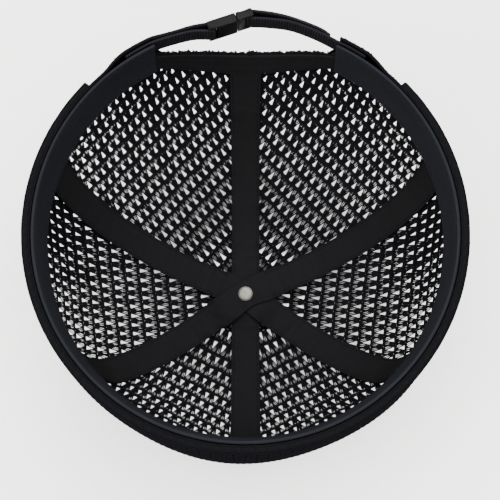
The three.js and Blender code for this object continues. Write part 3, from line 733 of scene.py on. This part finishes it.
def seam_roll(seam, crown):
    """The two net edges turned in and overlocked: a flat rope along the seam, ribbed by its thread."""
    top = crown.sewn.opening_height + 1.5 * MM if seam == "back" else 3 * MM
    length = np.linspace(crown.length_at_depth(top), crown.total - crown.seat, 520)[:, None]
    rib = 1 + ROLL["swell"] * np.sin(length * 2 * math.pi / ROLL["pitch"])
    side = ROLL["wide"] * np.cos(ROPE) * rib / np.maximum(crown.radius_at(length), 1 * MM)
    rings = crown.wall(math.radians(SEAMS[seam]) + side, length,
                       NET_MIDDLE - ROLL["inset"] + ROLL["thick"] * np.sin(ROPE) * rib)
    rings[..., 2] = np.maximum(rings[..., 2], FLOOR)
    finish_piece(swept("seam_roll_" + seam, rings, yarn_material()), "net")


def knotted_edge(name, place, run, radius, seed):
    """A rope along an edge: an ellipse whose two radii swell and shrink with the knots bound into it."""
    draw = np.random.default_rng(seed)
    knots = np.convolve(draw.normal(size=len(run) + 4), np.ones(5) / 5, "valid")[:, None]
    ribs = np.sin(np.arange(len(run)) * 1.7)[:, None]
    swell = 1 + 0.55 * knots + 0.12 * ribs
    rings = place(run[:, None], radius * (swell * np.cos(ROPE) - 0.5 * knots),
                  0.75 * radius * swell * np.sin(ROPE))
    finish_piece(swept(name, rings, yarn_material()), "net")


def net_edges(crown, seed):
    """The overlocked edge of the net: along the opening, and along the rim beside it."""
    def arch(run, across, out):
        """Over the opening's arched edge."""
        length = crown.length_at_depth(crown.opening_depth(run) + 0.35 * MM) + across
        return crown.wall(np.radians(run), length, NET_MIDDLE - 0.5 * MM + out)

    def rim(run, across, out):
        """Along the rim, standing off with the net."""
        length = np.maximum(crown.length_at_depth(2.6 * MM) + across, 0.2 * MM)
        return crown.wall(np.radians(run), length,
                          NET_MIDDLE + crown.stand_off(run, crown.depth_at(length)) + out)

    gap = crown.gap
    knotted_edge("net_edge_opening", arch, np.linspace(90 - gap, 90 + gap, 420), 1.25 * MM, seed)
    for side, name in ((-1, "right"), (1, "left")):
        run = 90 + side * np.linspace(gap + 0.5, CUFF_END + 1, 200)
        knotted_edge("net_edge_" + name, rim, run, 0.8 * MM, seed + 2 + side)


def rim_facing(crown):
    """A plain strip of doubled cloth behind the net, from the rim past the band, and beside the opening.

    Beside the opening it stands off with the net, round the sewn-in end of the webbing.
    """
    height = crown.sewn.sweatband - FACING["less"]
    degrees = np.linspace(90 + crown.gap, 450 - crown.gap, 300)[:, None]
    down = np.linspace(0, height, 12) + FACING["from"]
    depth = np.concatenate((down, down[::-1]))
    out = np.repeat((FACING["in"], FACING["out"]), len(down)) + crown.stand_off(degrees, depth)
    angle = np.radians(degrees)
    uv = pairs(angle * crown.mean, depth)
    piece = finish_piece(swept("rim_facing", crown.below(angle, depth, out), lining_cloth(), uv), "net")


class SKULLCAP_OT_net(bpy.types.Operator):
    """Knit the six panels of the crown"""

    bl_idname = "skullcap.net"
    bl_label = "Net panels"

    def execute(self, context):
        crown, net = cap()
        for number, panel in enumerate(PANELS):
            panel_net(panel, crown, net, number)
        for seam in SEAMS:
            seam_roll(seam, crown)
        net_edges(crown, net.seed)
        rim_facing(crown)
        return {"FINISHED"}


# Tapes and bands

STITCH_IN = 1.3 * MM           # from a tape's edge to its stitch line
CROSSING = 12 * MM             # from the button to the tapes' first stitches
# A stitch: its thread, how deep its ends dip and how proud its middle stands, and pitch in stitches
THREAD = {"wide": 0.36 * MM, "thick": 0.26 * MM, "dip": 0.2 * MM, "proud": 0.06 * MM, "pitch": 1.3}
# Wrinkles of the tapes: height, where they are highest, how far they spread and where they begin
PUCKER = {"high": 0.8 * MM, "at": 18 * MM, "spread": 20 * MM, "begin": (6 * MM, 14 * MM)}
LEVELLED = (19.5 * MM, 45 * MM)    # from the button, where a raised tape comes down to the net


def stitch_rows(place, starts, ends, lines, out, stitch):
    """Stitches as short raised tubes in rows: each dips into the cloth at both ends."""
    runs, asides = [], []
    for start, end, line in zip(starts, ends, lines):
        first = np.arange(start, end - stitch, stitch * THREAD["pitch"])
        runs.append(first[:, None] + stitch * np.array((0.0, 0.25, 0.75, 1.0)))
        asides.append(np.full(runs[-1].shape, line))
    run, aside = np.concatenate(runs), np.concatenate(asides)
    dip, proud = THREAD["dip"], THREAD["proud"]
    height = np.broadcast_to(out + np.array((dip, -proud, -proud, dip)), run.shape)
    return strands(place(run, aside, height), normals_of(place, run, aside), THREAD["wide"], THREAD["thick"])


def sew(name, rows, slot):
    """Rows of stitches as one piece."""
    finish_piece(new_mesh(name, *joined(rows), thread_material()), slot)


def tape_profile(width):
    """Closed section of a tape: a face with a sunk stitch line by each edge, round edges and a plain back."""
    half = width / 2
    edge = half - STITCH_IN
    right = np.array((half * 0.45, edge - 0.5 * MM, edge, edge + 0.5 * MM, half - 0.25 * MM))
    face = np.concatenate((-right[::-1], (0.0,), right))
    sink = 0.16 * MM * np.exp(-((np.abs(face) - edge) / (0.35 * MM)) ** 2)
    swell = 0.10 * MM * (1 - (face / half) ** 2)
    top = np.stack((face, TAPE_IN + sink - swell), axis=1)
    end = np.array(((half, TAPE_IN + 0.25 * MM), (half, (TAPE_IN + TAPE_OUT) / 2),
                    (half - 0.2 * MM, TAPE_OUT)))
    return np.concatenate((top, end, end[::-1] * (-1, 1)))


def tape_place(tape, crown):
    """Where a tape's run and width lie: the map (run, across, out) onto the crown.

    Each arm follows its seam, and within the seat the tape bends from one arm's line to the other's.
    Away from the seat its width spans equal lengths on the crown. A tape on top of others is raised
    where they cross, and wrinkles as a product of two waves.
    """
    one, two = (np.radians(SEAMS[tape[key]]) for key in ("one", "two"))
    ahead = np.array((math.cos(one), math.sin(one)))
    behind = -np.array((math.cos(two), math.sin(two)))

    def place(run, across, out):
        run, across, out = np.broadcast_arrays(run, across, out)
        away = np.abs(run)
        along = np.where((run > 0)[..., None], ahead, behind)
        share = smooth(run, -crown.seat, crown.seat)[..., None]
        turned = behind * (1 - share) + ahead * share
        turned /= np.linalg.norm(turned, axis=-1, keepdims=True)
        radius = np.maximum(crown.radius_at(crown.total - away), 1 * MM)
        stretch = np.where(away > crown.seat, away / radius, 1.0)
        side = np.stack((-turned[..., 1], turned[..., 0]), axis=-1)
        flat = along * run[..., None] + side * (across * stretch)[..., None]
        raised = TAPE_STEP * tape["level"] * (1 - smooth(away, *LEVELLED))
        pucker = PUCKER["high"] * np.exp(-((away - PUCKER["at"]) / PUCKER["spread"]) ** 2)
        pucker *= smooth(away, *PUCKER["begin"])
        wave = np.sin(run * 540 + across * 420 + 2 * tape["level"]) * np.cos(across * 300 + run * 170) - 0.4
        return crown.wall(*crown.unrolled(flat), out - raised + pucker * wave)
    return place


def tape_reach(crown, seam):
    """How far a tape's arm runs from the button: to the sweatband or to the binding."""
    sewn = crown.sewn
    band = sewn.opening_height + sewn.binding if seam == "back" else sewn.sweatband
    return crown.total - crown.length_at_depth(band) + 1.5 * MM


class SKULLCAP_OT_tapes(bpy.types.Operator):
    """Lay the three seam tapes over each other and stitch them"""

    bl_idname = "skullcap.tapes"
    bl_label = "Seam tapes"

    def execute(self, context):
        crown, _ = cap()
        width = crown.sewn.tape
        line = width / 2 - STITCH_IN
        across, out = tape_profile(width).T
        threads = []
        for tape in TAPES:
            place = tape_place(tape, crown)
            ahead, behind = (tape_reach(crown, tape[key]) for key in ("one", "two"))
            run = np.linspace(-behind, ahead, 260)[:, None]
            piece = swept(tape["node"].replace("seam_", ""), place(run, across, out), twill(),
                          uv=pairs(across, run))
            finish_piece(piece, "tape", tape["node"])
            threads.append(stitch_rows(place, (-behind, -behind, CROSSING, CROSSING),
                                       (-CROSSING, -CROSSING, ahead, ahead), (-line, line, -line, line),
                                       TAPE_IN, crown.sewn.stitch))
        sew("tape_stitches", threads, "tape")
        return {"FINISHED"}


class SKULLCAP_OT_sweatband(bpy.types.Operator):
    """Sew in the sweatband and the binding of the opening"""

    bl_idname = "skullcap.sweatband"
    bl_label = "Sweatband and binding"
    BAND_LINES = (2.2 * MM, 2.6 * MM)      # from the sweatband's lower and upper edge
    BINDING_LINES = (0.17, 0.84)           # shares of the binding's width
    CORNER = 1.2                           # degrees that the binding runs past the opening

    def execute(self, context):
        crown, _ = cap()
        self.sweatband(crown)
        self.binding(crown)
        return {"FINISHED"}

    def sweatband(self, crown):
        """Section: a rolled lower edge, a flat face with sunk stitch lines and a rolled upper edge."""
        height = crown.sewn.sweatband
        lines = (self.BAND_LINES[0], height - self.BAND_LINES[1])
        curl = np.array((0.0, 0.25, 0.7, 1.3)) * MM
        beside = np.linspace(-0.5, 0.5, 4) * MM
        down = np.concatenate((curl, lines[0] + beside, np.linspace(4 * MM, lines[1] - 1.2 * MM, 14),
                               lines[1] + beside, height - curl[::-1]))
        sink = sum(0.22 * MM * np.exp(-((down - line) / (0.4 * MM)) ** 2) for line in lines)
        ends = np.minimum(down, height - down)
        round_off = 0.7 * MM * (1 - np.sqrt(np.clip(1 - (1 - np.minimum(ends / curl[-1], 1)) ** 2, 0, 1)))
        back = down[::-1][2:-2:3]
        depth = np.concatenate((down, back))
        out = np.concatenate((BAND_IN + sink + round_off, np.full(len(back), BAND_OUT)))
        angle = np.radians(np.linspace(90 + crown.gap, 450 - crown.gap, 340))[:, None]
        ease = 0.30 * MM * np.sin(9 * angle + 1) * np.sin(math.pi * np.clip(depth / height, 0, 1)) ** 2
        rings = crown.below(angle, depth, out - 0.15 * MM + ease)
        piece = swept("sweatband_cloth", rings, tricot(), uv=pairs(angle * crown.mean, depth))
        finish_piece(piece, "sweatband", "sweatband")

        def place(run, across, out):
            return crown.below(run / crown.mean, across, out)
        start, end = (math.radians(v) * crown.mean for v in (91 + crown.gap, 449 - crown.gap))
        rows = stitch_rows(place, (start, start), (end, end), lines, BAND_IN + 0.05 * MM, crown.sewn.stitch)
        sew("sweatband_stitches", [rows], "sweatband")

    def binding(self, crown):
        """Section across the binding: rolled at the opening's edge, flat, rolled at the net."""
        def width_at(run):
            """The opening's edge, and the binding's width from there to under the sweatband's edge."""
            edge = crown.opening_depth(np.degrees(run / crown.mean))
            return edge, np.maximum(edge + crown.sewn.binding, crown.sewn.sweatband - 1 * MM) - edge

        def place(run, across, out):
            """A place across the binding as a share of its width."""
            edge, wide = width_at(run)
            return crown.below(run / crown.mean, edge + wide * across, out)

        reach = crown.gap + self.CORNER
        run = np.radians(np.linspace(90 + reach, 90 - reach, 120))[:, None] * crown.mean
        share = np.concatenate((np.linspace(0, 0.12, 5), np.linspace(0.2, 0.8, 9), np.linspace(0.88, 1, 5)))
        bow = np.sqrt(np.clip(1 - (2 * share - 1) ** 8, 0, 1))
        sink = 0.16 * MM * sum(np.exp(-((share - line) / 0.03) ** 2) for line in self.BINDING_LINES)
        top = BINDING_IN + 0.5 * MM * (1 - bow) + sink
        share = np.concatenate((share, share[::-1][1:-1:2]))
        out = np.concatenate((top, np.full(len(share) - len(top), BINDING_OUT)))
        _, width = width_at(run)
        piece = swept("binding_cloth", place(run, share, out), twill(), uv=pairs(run, width * share))
        finish_piece(piece, "binding", "opening_binding")
        long = float(np.ptp(run))
        float(width.mean()) * long
        start, end = (math.radians(v) * crown.mean for v in (91 - crown.gap, 89 + crown.gap))
        rows = stitch_rows(place, (start, start), (end, end), self.BINDING_LINES, BINDING_IN + 0.05 * MM,
                           crown.sewn.stitch)
        sew("binding_stitches", [rows], "binding")


# Cuff

CUFF_FOLD_IN = 1.1 * MM        # inner end of the fold over the rim
CUFF_OUTER = 4.8 * MM          # outer face at the rim
CUFF_RISE = 2.4 * MM           # of the fold above the rim
CUFF_FLARE = {"front": 4.6 * MM, "ends": 1.6 * MM}


def cuff_place(crown):
    """The cuff's outer skin: (angle, length from the hem, out) to a point.

    Up the flared wall, then over the rim in half an ellipse to the sweatband's edge. Out is measured
    along the skin's own normal in its upright plane.
    """
    height = crown.sewn.cuff
    roll = (CUFF_OUTER - CUFF_FOLD_IN) / 2
    wall = height - CUFF_RISE
    arc = math.pi * (roll + CUFF_RISE) / 2

    def place(angle, length, out):
        angle, length, out = np.broadcast_arrays(angle, length, out)
        flare = CUFF_FLARE["ends"] + (CUFF_FLARE["front"] - CUFF_FLARE["ends"]) * smooth(
            from_back(np.degrees(angle)), 60, 180)
        depth_wall = height - np.clip(length, -5 * MM, wall)
        over = np.clip((length - wall) / arc, 0, 1) * math.pi
        on_wall = length < wall
        reach = CUFF_OUTER + flare * (np.clip(depth_wall - CUFF_RISE, 0, None) / wall) ** 0.85
        sway = 0.5 * MM * np.sin(7 * angle + 0.6) * smooth(depth_wall, 8 * MM, height)
        reach = np.where(on_wall, reach + sway, CUFF_OUTER - roll + roll * np.cos(over))
        depth = np.where(on_wall, depth_wall, CUFF_RISE - CUFF_RISE * np.sin(over))
        away = np.where(on_wall, 1.0, np.cos(over))
        up = np.where(on_wall, -0.05, np.sin(over))
        rim = crown.point(angle, np.zeros(angle.shape))
        normal = (rim[..., :2] - (0, crown.shift)) / (crown.half_x ** 2, crown.half_y ** 2)
        normal /= np.linalg.norm(normal, axis=-1, keepdims=True)
        flat = rim[..., :2] + normal * (reach + out * away)[..., None]
        return np.concatenate((flat, (crown.rim - depth + out * up)[..., None]), axis=-1)
    return place, wall + arc


class SKULLCAP_OT_cuff(bpy.types.Operator):
    """Roll the cuff outwards over the rim: lining, net and hem"""

    bl_idname = "skullcap.cuff"
    bl_label = "Cuff"
    LINING, WALL = -0.22 * MM, 0.9 * MM    # the lining's place inside the net, and its thickness
    UNLINED = 5 * MM                       # the lining stops this far above the hem

    def execute(self, context):
        crown, net = cap()
        place, reach = cuff_place(crown)
        span = np.radians((90 + CUFF_END, 450 - CUFF_END))
        width = float(span[1] - span[0]) * crown.mean
        self.lining(place, reach, span, crown, width)
        self.knit(place, reach, span, crown, net, width)
        self.hem(place, span)
        return {"FINISHED"}

    def lining(self, place, reach, span, crown, width):
        """A wall that follows the skin from inside, closed round its edges."""
        angle = np.linspace(*span, 300)[:, None]
        along = np.concatenate((np.linspace(self.UNLINED, reach * 0.86, 14),
                                np.linspace(reach * 0.88, reach, 9)))
        length = np.concatenate((along, along[::-1]))
        out = np.repeat((self.LINING, self.LINING - self.WALL), len(along))
        uv = pairs(angle * crown.mean, length)
        piece = swept("cuff_lining", place(angle, length, out), lining_cloth(), uv)
        finish_piece(piece, "cuff_net", "cuff")

    def knit(self, place, reach, span, crown, net, width):
        """The same net as the panels, rows along the hem, holes pointing to the hem."""
        columns, rows = np.arange(int(width / net.across)), np.arange(int(reach / net.along) + 1)
        parts = []
        for paths, wide, thick in net_cells(columns, rows, net):
            x, y, out = np.moveaxis(stray(paths, net, 9.1), -1, 0)
            angle = span[0] + np.clip(x, 0, len(columns)) * (width / len(columns)) / crown.mean
            length = np.clip(reach - y * (reach / len(rows)), 0, reach)
            parts += tubes_inside(place(angle, length, out * 0.6), normals_of(place, angle, length),
                                  wide, thick, np.zeros(wide.shape, bool))
        piece = finish_piece(new_mesh("cuff_net", *joined(parts), yarn_material()), "cuff_net", "cuff")

    def hem(self, place, span):
        """Narrow overlocked edge: yarn loops round the hem."""
        angle = np.linspace(*span, 560)[:, None]
        ripple = 1 + 0.18 * np.sin(np.arange(len(angle)) * 1.9)[:, None]
        rings = place(angle, 0.55 * MM + 0.75 * MM * np.cos(ROPE) * ripple, 0.6 * MM * np.sin(ROPE) * ripple)
        finish_piece(swept("cuff_hem", rings, yarn_material()), "cuff_net", "cuff")


# Strap and buckle

# Webbing: width, distance below the rim, thickness, degrees sewn in past the opening, pitch of its ribs
STRAP = {"width": 11 * MM, "drop": 2 * MM, "wall": 1.2 * MM, "lap": 8.0, "rib": 1.3 * MM}
# Buckle: middle, turn in plan, radius of its bars, from its middle to a bar, the webbing's room round
# a bar, and height of the rounded tops
BUCKLE = {"x": -7 * MM, "y": 96.2 * MM, "turn": math.radians(19), "bar": 1.0 * MM, "bar_at": 9.5 * MM,
          "room": 0.3 * MM, "top": 1.3 * MM}
# Tops of the buckle's parts in mm: distances from its middle, and half widths there
SOCKET_TOP = ((-10.8, -10.6, -10.0, -8.6, -6.8, 2.2, 2.6, 2.75), (0.5, 1.0, 1.5, 1.95, 2.2, 2.2, 2.0, 1.5))
PLUG_TOP = ((3.15, 3.3, 3.7, 4.6, 5.0, 6.2, 8.6, 9.2, 9.8, 10.3, 10.7, 10.8),
            (1.5, 2.0, 2.2, 2.2, 1.8, 1.75, 1.8, 2.2, 2.2, 2.0, 1.5, 0.8))
# The two ends of the webbing: side, share of the run that the outer layer leaves free at its end, and
# places along the run from the buckle with the millimetres that the webbing bows outwards there
WEBBING = (("left", -1, 0.0, ((0.3, 1.6), (0.65, 1.2))),
           ("right", 1, 0.12, ((0.2, 2.0), (0.45, 3.4), (0.75, 2.2))))


def buckle_axes():
    """Unit vectors along the buckle and outwards from it."""
    ahead = np.array((math.cos(BUCKLE["turn"]), math.sin(BUCKLE["turn"]), 0.0))
    return ahead, np.array((-ahead[1], ahead[0], 0.0))


def curve_through(points, count):
    """A smooth plan curve through the points: a cubic blend of neighbours, spaced evenly."""
    ends = np.concatenate((2 * points[:1] - points[1:2], points, 2 * points[-1:] - points[-2:-1]))
    t = np.linspace(0, 1, 24, endpoint=False)[None, :, None]
    a, b, c, d = (ends[i:len(ends) - 3 + i][:, None] for i in range(4))
    fine = 0.5 * (2 * b + (c - a) * t + (2 * a - 5 * b + 4 * c - d) * t ** 2
                  + (3 * b - a - 3 * c + d) * t ** 3)
    fine = np.concatenate((fine.reshape(-1, 2), points[-1:]))
    run = np.concatenate(([0], np.cumsum(np.linalg.norm(np.diff(fine, axis=0), axis=1))))
    at = np.linspace(0, run[-1], count)
    return np.stack([np.interp(at, run, fine[:, i]) for i in (0, 1)], axis=1), at


class SKULLCAP_OT_strap(bpy.types.Operator):
    """Thread the ribbed webbing through the buckle"""

    bl_idname = "skullcap.strap"
    bl_label = "Strap"

    def execute(self, context):
        crown, _ = cap()
        for end in WEBBING:
            self.web(crown, *end)
        return {"FINISHED"}

    def web(self, crown, name, side, free, run_table):
        """Out of the seam, along the inner layer, round the bar and back along the outer layer."""
        edge = 90 - side * crown.gap
        sewn_in = np.radians(np.linspace(edge - side * STRAP["lap"], edge, 4))
        corner = crown.below(sewn_in, STRAP["drop"] + STRAP["width"] / 2,
                             NET_IN + STRAP["wall"] / 2 + 0.05 * MM)[:, :2]
        ahead, out = (axis[:2] for axis in buckle_axes())
        bar = np.array((BUCKLE["x"], BUCKLE["y"] + crown.shift)) + ahead * side * BUCKLE["bar_at"]
        bend = BUCKLE["bar"] + BUCKLE["room"] + STRAP["wall"] / 2
        straight = bar - out * bend
        run = corner[-1] - straight
        bow = side * np.array((-run[1], run[0])) / np.linalg.norm(run)
        layer = STRAP["wall"] + 0.6 * MM
        inner = [straight + run * share + bow * rise * MM for share, rise in reversed(run_table)]
        half_turn = np.linspace(0, math.pi, 9)[:, None]
        loop = bar - out * bend * np.cos(half_turn) - ahead * side * bend * np.sin(half_turn)
        # The outer layer closes up on the inner one within the first two fifths of the run
        apart = [2 * bend + (layer - 2 * bend) * min(share * 2.4, 1) for share, _ in run_table]
        outer = [straight + run * share + bow * (rise * MM + more)
                 for (share, rise), more in zip(run_table, apart)]
        last = straight + run * (1 - free) + bow * layer * 1.3
        path, at = curve_through(np.vstack((corner, inner, loop, outer, last)), 620)
        self.ribbed("webbing_" + name, path, at, crown)

    def ribbed(self, name, path, at, crown):
        """A flat section carried along the path: faces rise and fall with each weft rib."""
        width, wall = STRAP["width"], STRAP["wall"] / 2
        down = np.concatenate((np.array((0.0, 0.35, 0.9)) * MM, np.linspace(1.6 * MM, width - 1.6 * MM, 9),
                               width - np.array((0.9, 0.35, 0.0)) * MM))
        near = np.minimum(down, width - down)
        thick = wall * (0.35 + 0.65 * np.sqrt(np.clip(1 - (1 - np.minimum(near / (0.9 * MM), 1)) ** 2, 0, 1)))
        ribs = 0.32 * MM * (np.abs(np.sin(math.pi * at / STRAP["rib"])) - 0.7)[:, None]
        half = (thick + ribs * smooth(near, 0.2 * MM, 1.0 * MM))[..., None]
        tangent = np.gradient(path, axis=0)
        tangent /= np.linalg.norm(tangent, axis=1, keepdims=True)
        side = np.stack((-tangent[:, 1], tangent[:, 0]), axis=1)[:, None]
        rise = (crown.rim - STRAP["drop"] + 0.25 * MM * np.sin(at * 95)[:, None] - down)[..., None]
        front, back = (np.concatenate((path[:, None] + side * half * way, rise), axis=-1) for way in (1, -1))
        rings = np.concatenate((front, back[:, ::-1]), axis=1)
        uv = pairs(np.concatenate((down, down[::-1] + 20 * MM)), at[:, None])
        cloth = woven_material("Ribbed webbing", "webbing", STRAP["rib"], 0.0, 0.55)
        piece = finish_piece(swept(name, rings, cloth, uv), "webbing", "strap_" + name)


def softened(node, width):
    """A merged copy of a solid with its edges rounded, as a mould leaves them."""
    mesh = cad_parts[node].data.copy()
    piece = bpy.data.objects.new(node + "_moulding", mesh)
    bpy.context.scene.collection.objects.link(piece)
    work = bmesh.new()
    work.from_mesh(mesh)
    bmesh.ops.remove_doubles(work, verts=work.verts, dist=1e-6)
    bmesh.ops.dissolve_limit(work, angle_limit=0.02, verts=work.verts, edges=work.edges)
    work.to_mesh(mesh)
    work.free()
    mesh.materials.clear()
    mesh.materials.append(acetal_material())
    bevel = piece.modifiers.new("Rounded edges", "BEVEL")
    bevel.width = width
    bevel.segments = 3
    bevel.limit_method = "ANGLE"
    bevel.angle_limit = 0.6
    bevel.harden_normals = True
    mesh.polygons.foreach_set("use_smooth", np.ones(len(mesh.polygons), bool))
    finish_piece(piece, "buckle", node)


def buckle_top(node, along, halves, crown):
    """A smooth raised top over one part of the buckle: a rounded bar with the given half widths along it."""
    ahead, out = buckle_axes()
    middle = np.array((BUCKLE["x"], BUCKLE["y"] + crown.shift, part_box(node)[1][2] - BUCKLE["top"] / 2))
    turn = np.linspace(0, 2 * math.pi, 25)[:-1]
    side = np.sign(np.cos(turn)) * np.abs(np.cos(turn)) ** 0.35
    rise = np.sign(np.sin(turn)) * np.abs(np.sin(turn)) ** 0.5 * BUCKLE["top"] / 2
    along, halves = (np.array(v)[:, None, None] * MM for v in (along, halves))
    low = np.minimum(1, halves / halves.max() * 1.2)
    rings = (middle + along * ahead + halves * side[:, None] * out
             + low * rise[:, None] * np.array((0, 0, 1.0)))
    finish_piece(swept(node + "_top", rings, acetal_material()), "buckle", node)


class SKULLCAP_OT_buckle(bpy.types.Operator):
    """Mould the two parts of the buckle"""

    bl_idname = "skullcap.buckle"
    bl_label = "Buckle"

    def execute(self, context):
        crown, _ = cap()
        softened("buckle_socket", 0.35 * MM)
        softened("buckle_plug", 0.3 * MM)
        buckle_top("buckle_socket", *SOCKET_TOP, crown)
        buckle_top("buckle_plug", *PLUG_TOP, crown)
        return {"FINISHED"}


# Button and rivet

def turned(name, profile, low, high, material, slot, node):
    """A profile of radius and height carried once round the upright middle line of a box."""
    angle = np.linspace(0, 2 * math.pi, 64, endpoint=False)
    radius, height = np.vstack(profile).T[..., None]
    rings = np.stack(np.broadcast_arrays((low[0] + high[0]) / 2 + radius * np.cos(angle),
                                         (low[1] + high[1]) / 2 + radius * np.sin(angle), height), axis=-1)
    finish_piece(swept(name, rings, material), slot, node)


class SKULLCAP_OT_button(bpy.types.Operator):
    """Turn the covered button and the rivet that holds it"""

    bl_idname = "skullcap.button"
    bl_label = "Button and rivet"
    HEAD = 1.1 * MM                # height of the rivet's head
    SHANK = 1.5 * MM               # radius of its shank

    def execute(self, context):
        low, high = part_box("top_button")
        radius, half = (high[0] - low[0]) / 2, high[2] / 2
        edge = np.linspace(-QUARTER, QUARTER, 13)
        side = np.stack((radius - half + half * np.cos(edge), half + half * np.sin(edge)), axis=1)
        turned("button_cover", side, low, high, yarn_material(), "button_cloth", "top_button")

        low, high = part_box("crown_rivet")
        radius, head = (high[0] - low[0]) / 2, high[2] - self.HEAD
        over = np.linspace(0, QUARTER, 9)
        brim = np.stack((radius - 0.5 * MM * (1 - np.cos(over)),
                         head + (0.2 + 0.45 * np.sin(over)) * MM), axis=1)
        share = np.linspace(0.82, 0.1, 8)
        dome = np.stack((radius * share, head + (0.68 + 0.4 * (1 - share ** 2)) * MM), axis=1)
        profile = ((self.SHANK * 0.9, low[2]), (self.SHANK, low[2] + 0.2 * MM), (self.SHANK, head),
                   (radius - 0.2 * MM, head), (radius, head + 0.1 * MM), brim, dome)
        turned("rivet_head", profile, low, high, nickel_material(), "rivet", "crown_rivet")
        return {"FINISHED"}


# Stage

# Camera: pitch in radians, and focal length, width and middle of the picture in its own points
CAMERA = {"pitch": 0.169, "focal": 1016.0, "frame": 500.0, "middle_x": 245.5, "middle_y": 250.5}
SENSOR = 36.0                  # width in millimetres
FLOOR_HALF, FLOOR_DROP = 1.6, 0.2 * MM
SKY = 2.5                      # strength of the white surroundings
# Soft lights: place, width and power
LIGHTS = {"Top softbox": ((0.15, 0.35, 1.3), 1.1, 36), "Left softbox": ((-0.9, -0.3, 0.8), 0.7, 12)}


class SKULLCAP_OT_stage(bpy.types.Operator):
    """Set the pale floor, the soft lights and the camera above the cap"""

    bl_idname = "skullcap.stage"
    bl_label = "Stage"

    def execute(self, context):
        scene = context.scene
        mesh = bpy.data.meshes.new("floor")
        mesh.from_pydata([(x * FLOOR_HALF, y * FLOOR_HALF, -FLOOR_DROP)
                          for x, y in ((-1, -1), (1, -1), (1, 1), (-1, 1))], [], [(0, 1, 2, 3)])
        mesh.materials.append(floor_material())
        floor = bpy.data.objects.new("floor", mesh)
        scene.collection.objects.link(floor)
        world = bpy.data.worlds.new("Studio")
        world.use_nodes = True
        feed(world.node_tree, world.node_tree.nodes["Background"], {"Color": (1, 1, 1, 1), "Strength": SKY})
        scene.world = world
        for name, (place, size, power) in LIGHTS.items():
            data = bpy.data.lights.new(name, "AREA")
            data.size = size
            data.energy = power
            lamp = bpy.data.objects.new(name, data)
            lamp.location = place
            lamp.rotation_euler = (-Vector(place)).to_track_quat("-Z", "Y").to_euler()
            scene.collection.objects.link(lamp)
        camera = bpy.data.cameras.new("Camera")
        camera.sensor_width = SENSOR
        camera.lens = CAMERA["focal"] / CAMERA["frame"] * SENSOR
        camera.shift_x = 0.5 - CAMERA["middle_x"] / CAMERA["frame"]
        camera.shift_y = CAMERA["middle_y"] / CAMERA["frame"] - 0.5
        camera.clip_start = 0.01
        view = bpy.data.objects.new("Camera", camera)
        view.location = EYE
        view.rotation_euler = (CAMERA["pitch"], 0, 0)
        scene.collection.objects.link(view)
        scene.camera = view
        return {"FINISHED"}


class SKULLCAP_PT_panel(bpy.types.Panel):
    """Lists the cap's pieces and sizes"""

    bl_idname = "SKULLCAP_PT_panel"
    bl_label = "Skull Cap"
    bl_space_type = "VIEW_3D"
    bl_region_type = "UI"
    bl_category = "Skull Cap"

    def draw(self, context):
        for name in STEPS:
            self.layout.operator("skullcap." + name)
        for group in sizes():
            box = self.layout.box()
            for key in group.__annotations__:
                box.prop(group, key)


STEPS = ("stage", "net", "tapes", "sweatband", "cuff", "strap", "buckle", "button")
GROUPS = {"skullcap_crown": CrownSizes, "skullcap_sewn": SewnSizes, "skullcap_net": NetSizes,
          "skullcap_finish": Finishes}
CLASSES = (*GROUPS.values(), SKULLCAP_OT_stage, SKULLCAP_OT_net, SKULLCAP_OT_tapes, SKULLCAP_OT_sweatband,
           SKULLCAP_OT_cuff, SKULLCAP_OT_strap, SKULLCAP_OT_buckle, SKULLCAP_OT_button, SKULLCAP_PT_panel)


def register():
    for item in CLASSES:
        bpy.utils.register_class(item)
    for name, group in GROUPS.items():
        setattr(bpy.types.Scene, name, PointerProperty(type=group))


def unregister():
    for name in GROUPS:
        delattr(bpy.types.Scene, name)
    for item in reversed(CLASSES):
        bpy.utils.unregister_class(item)


def main():
    register()
    for name in STEPS:
        getattr(bpy.ops.skullcap, name)()


if __name__ == "__main__":
    main()
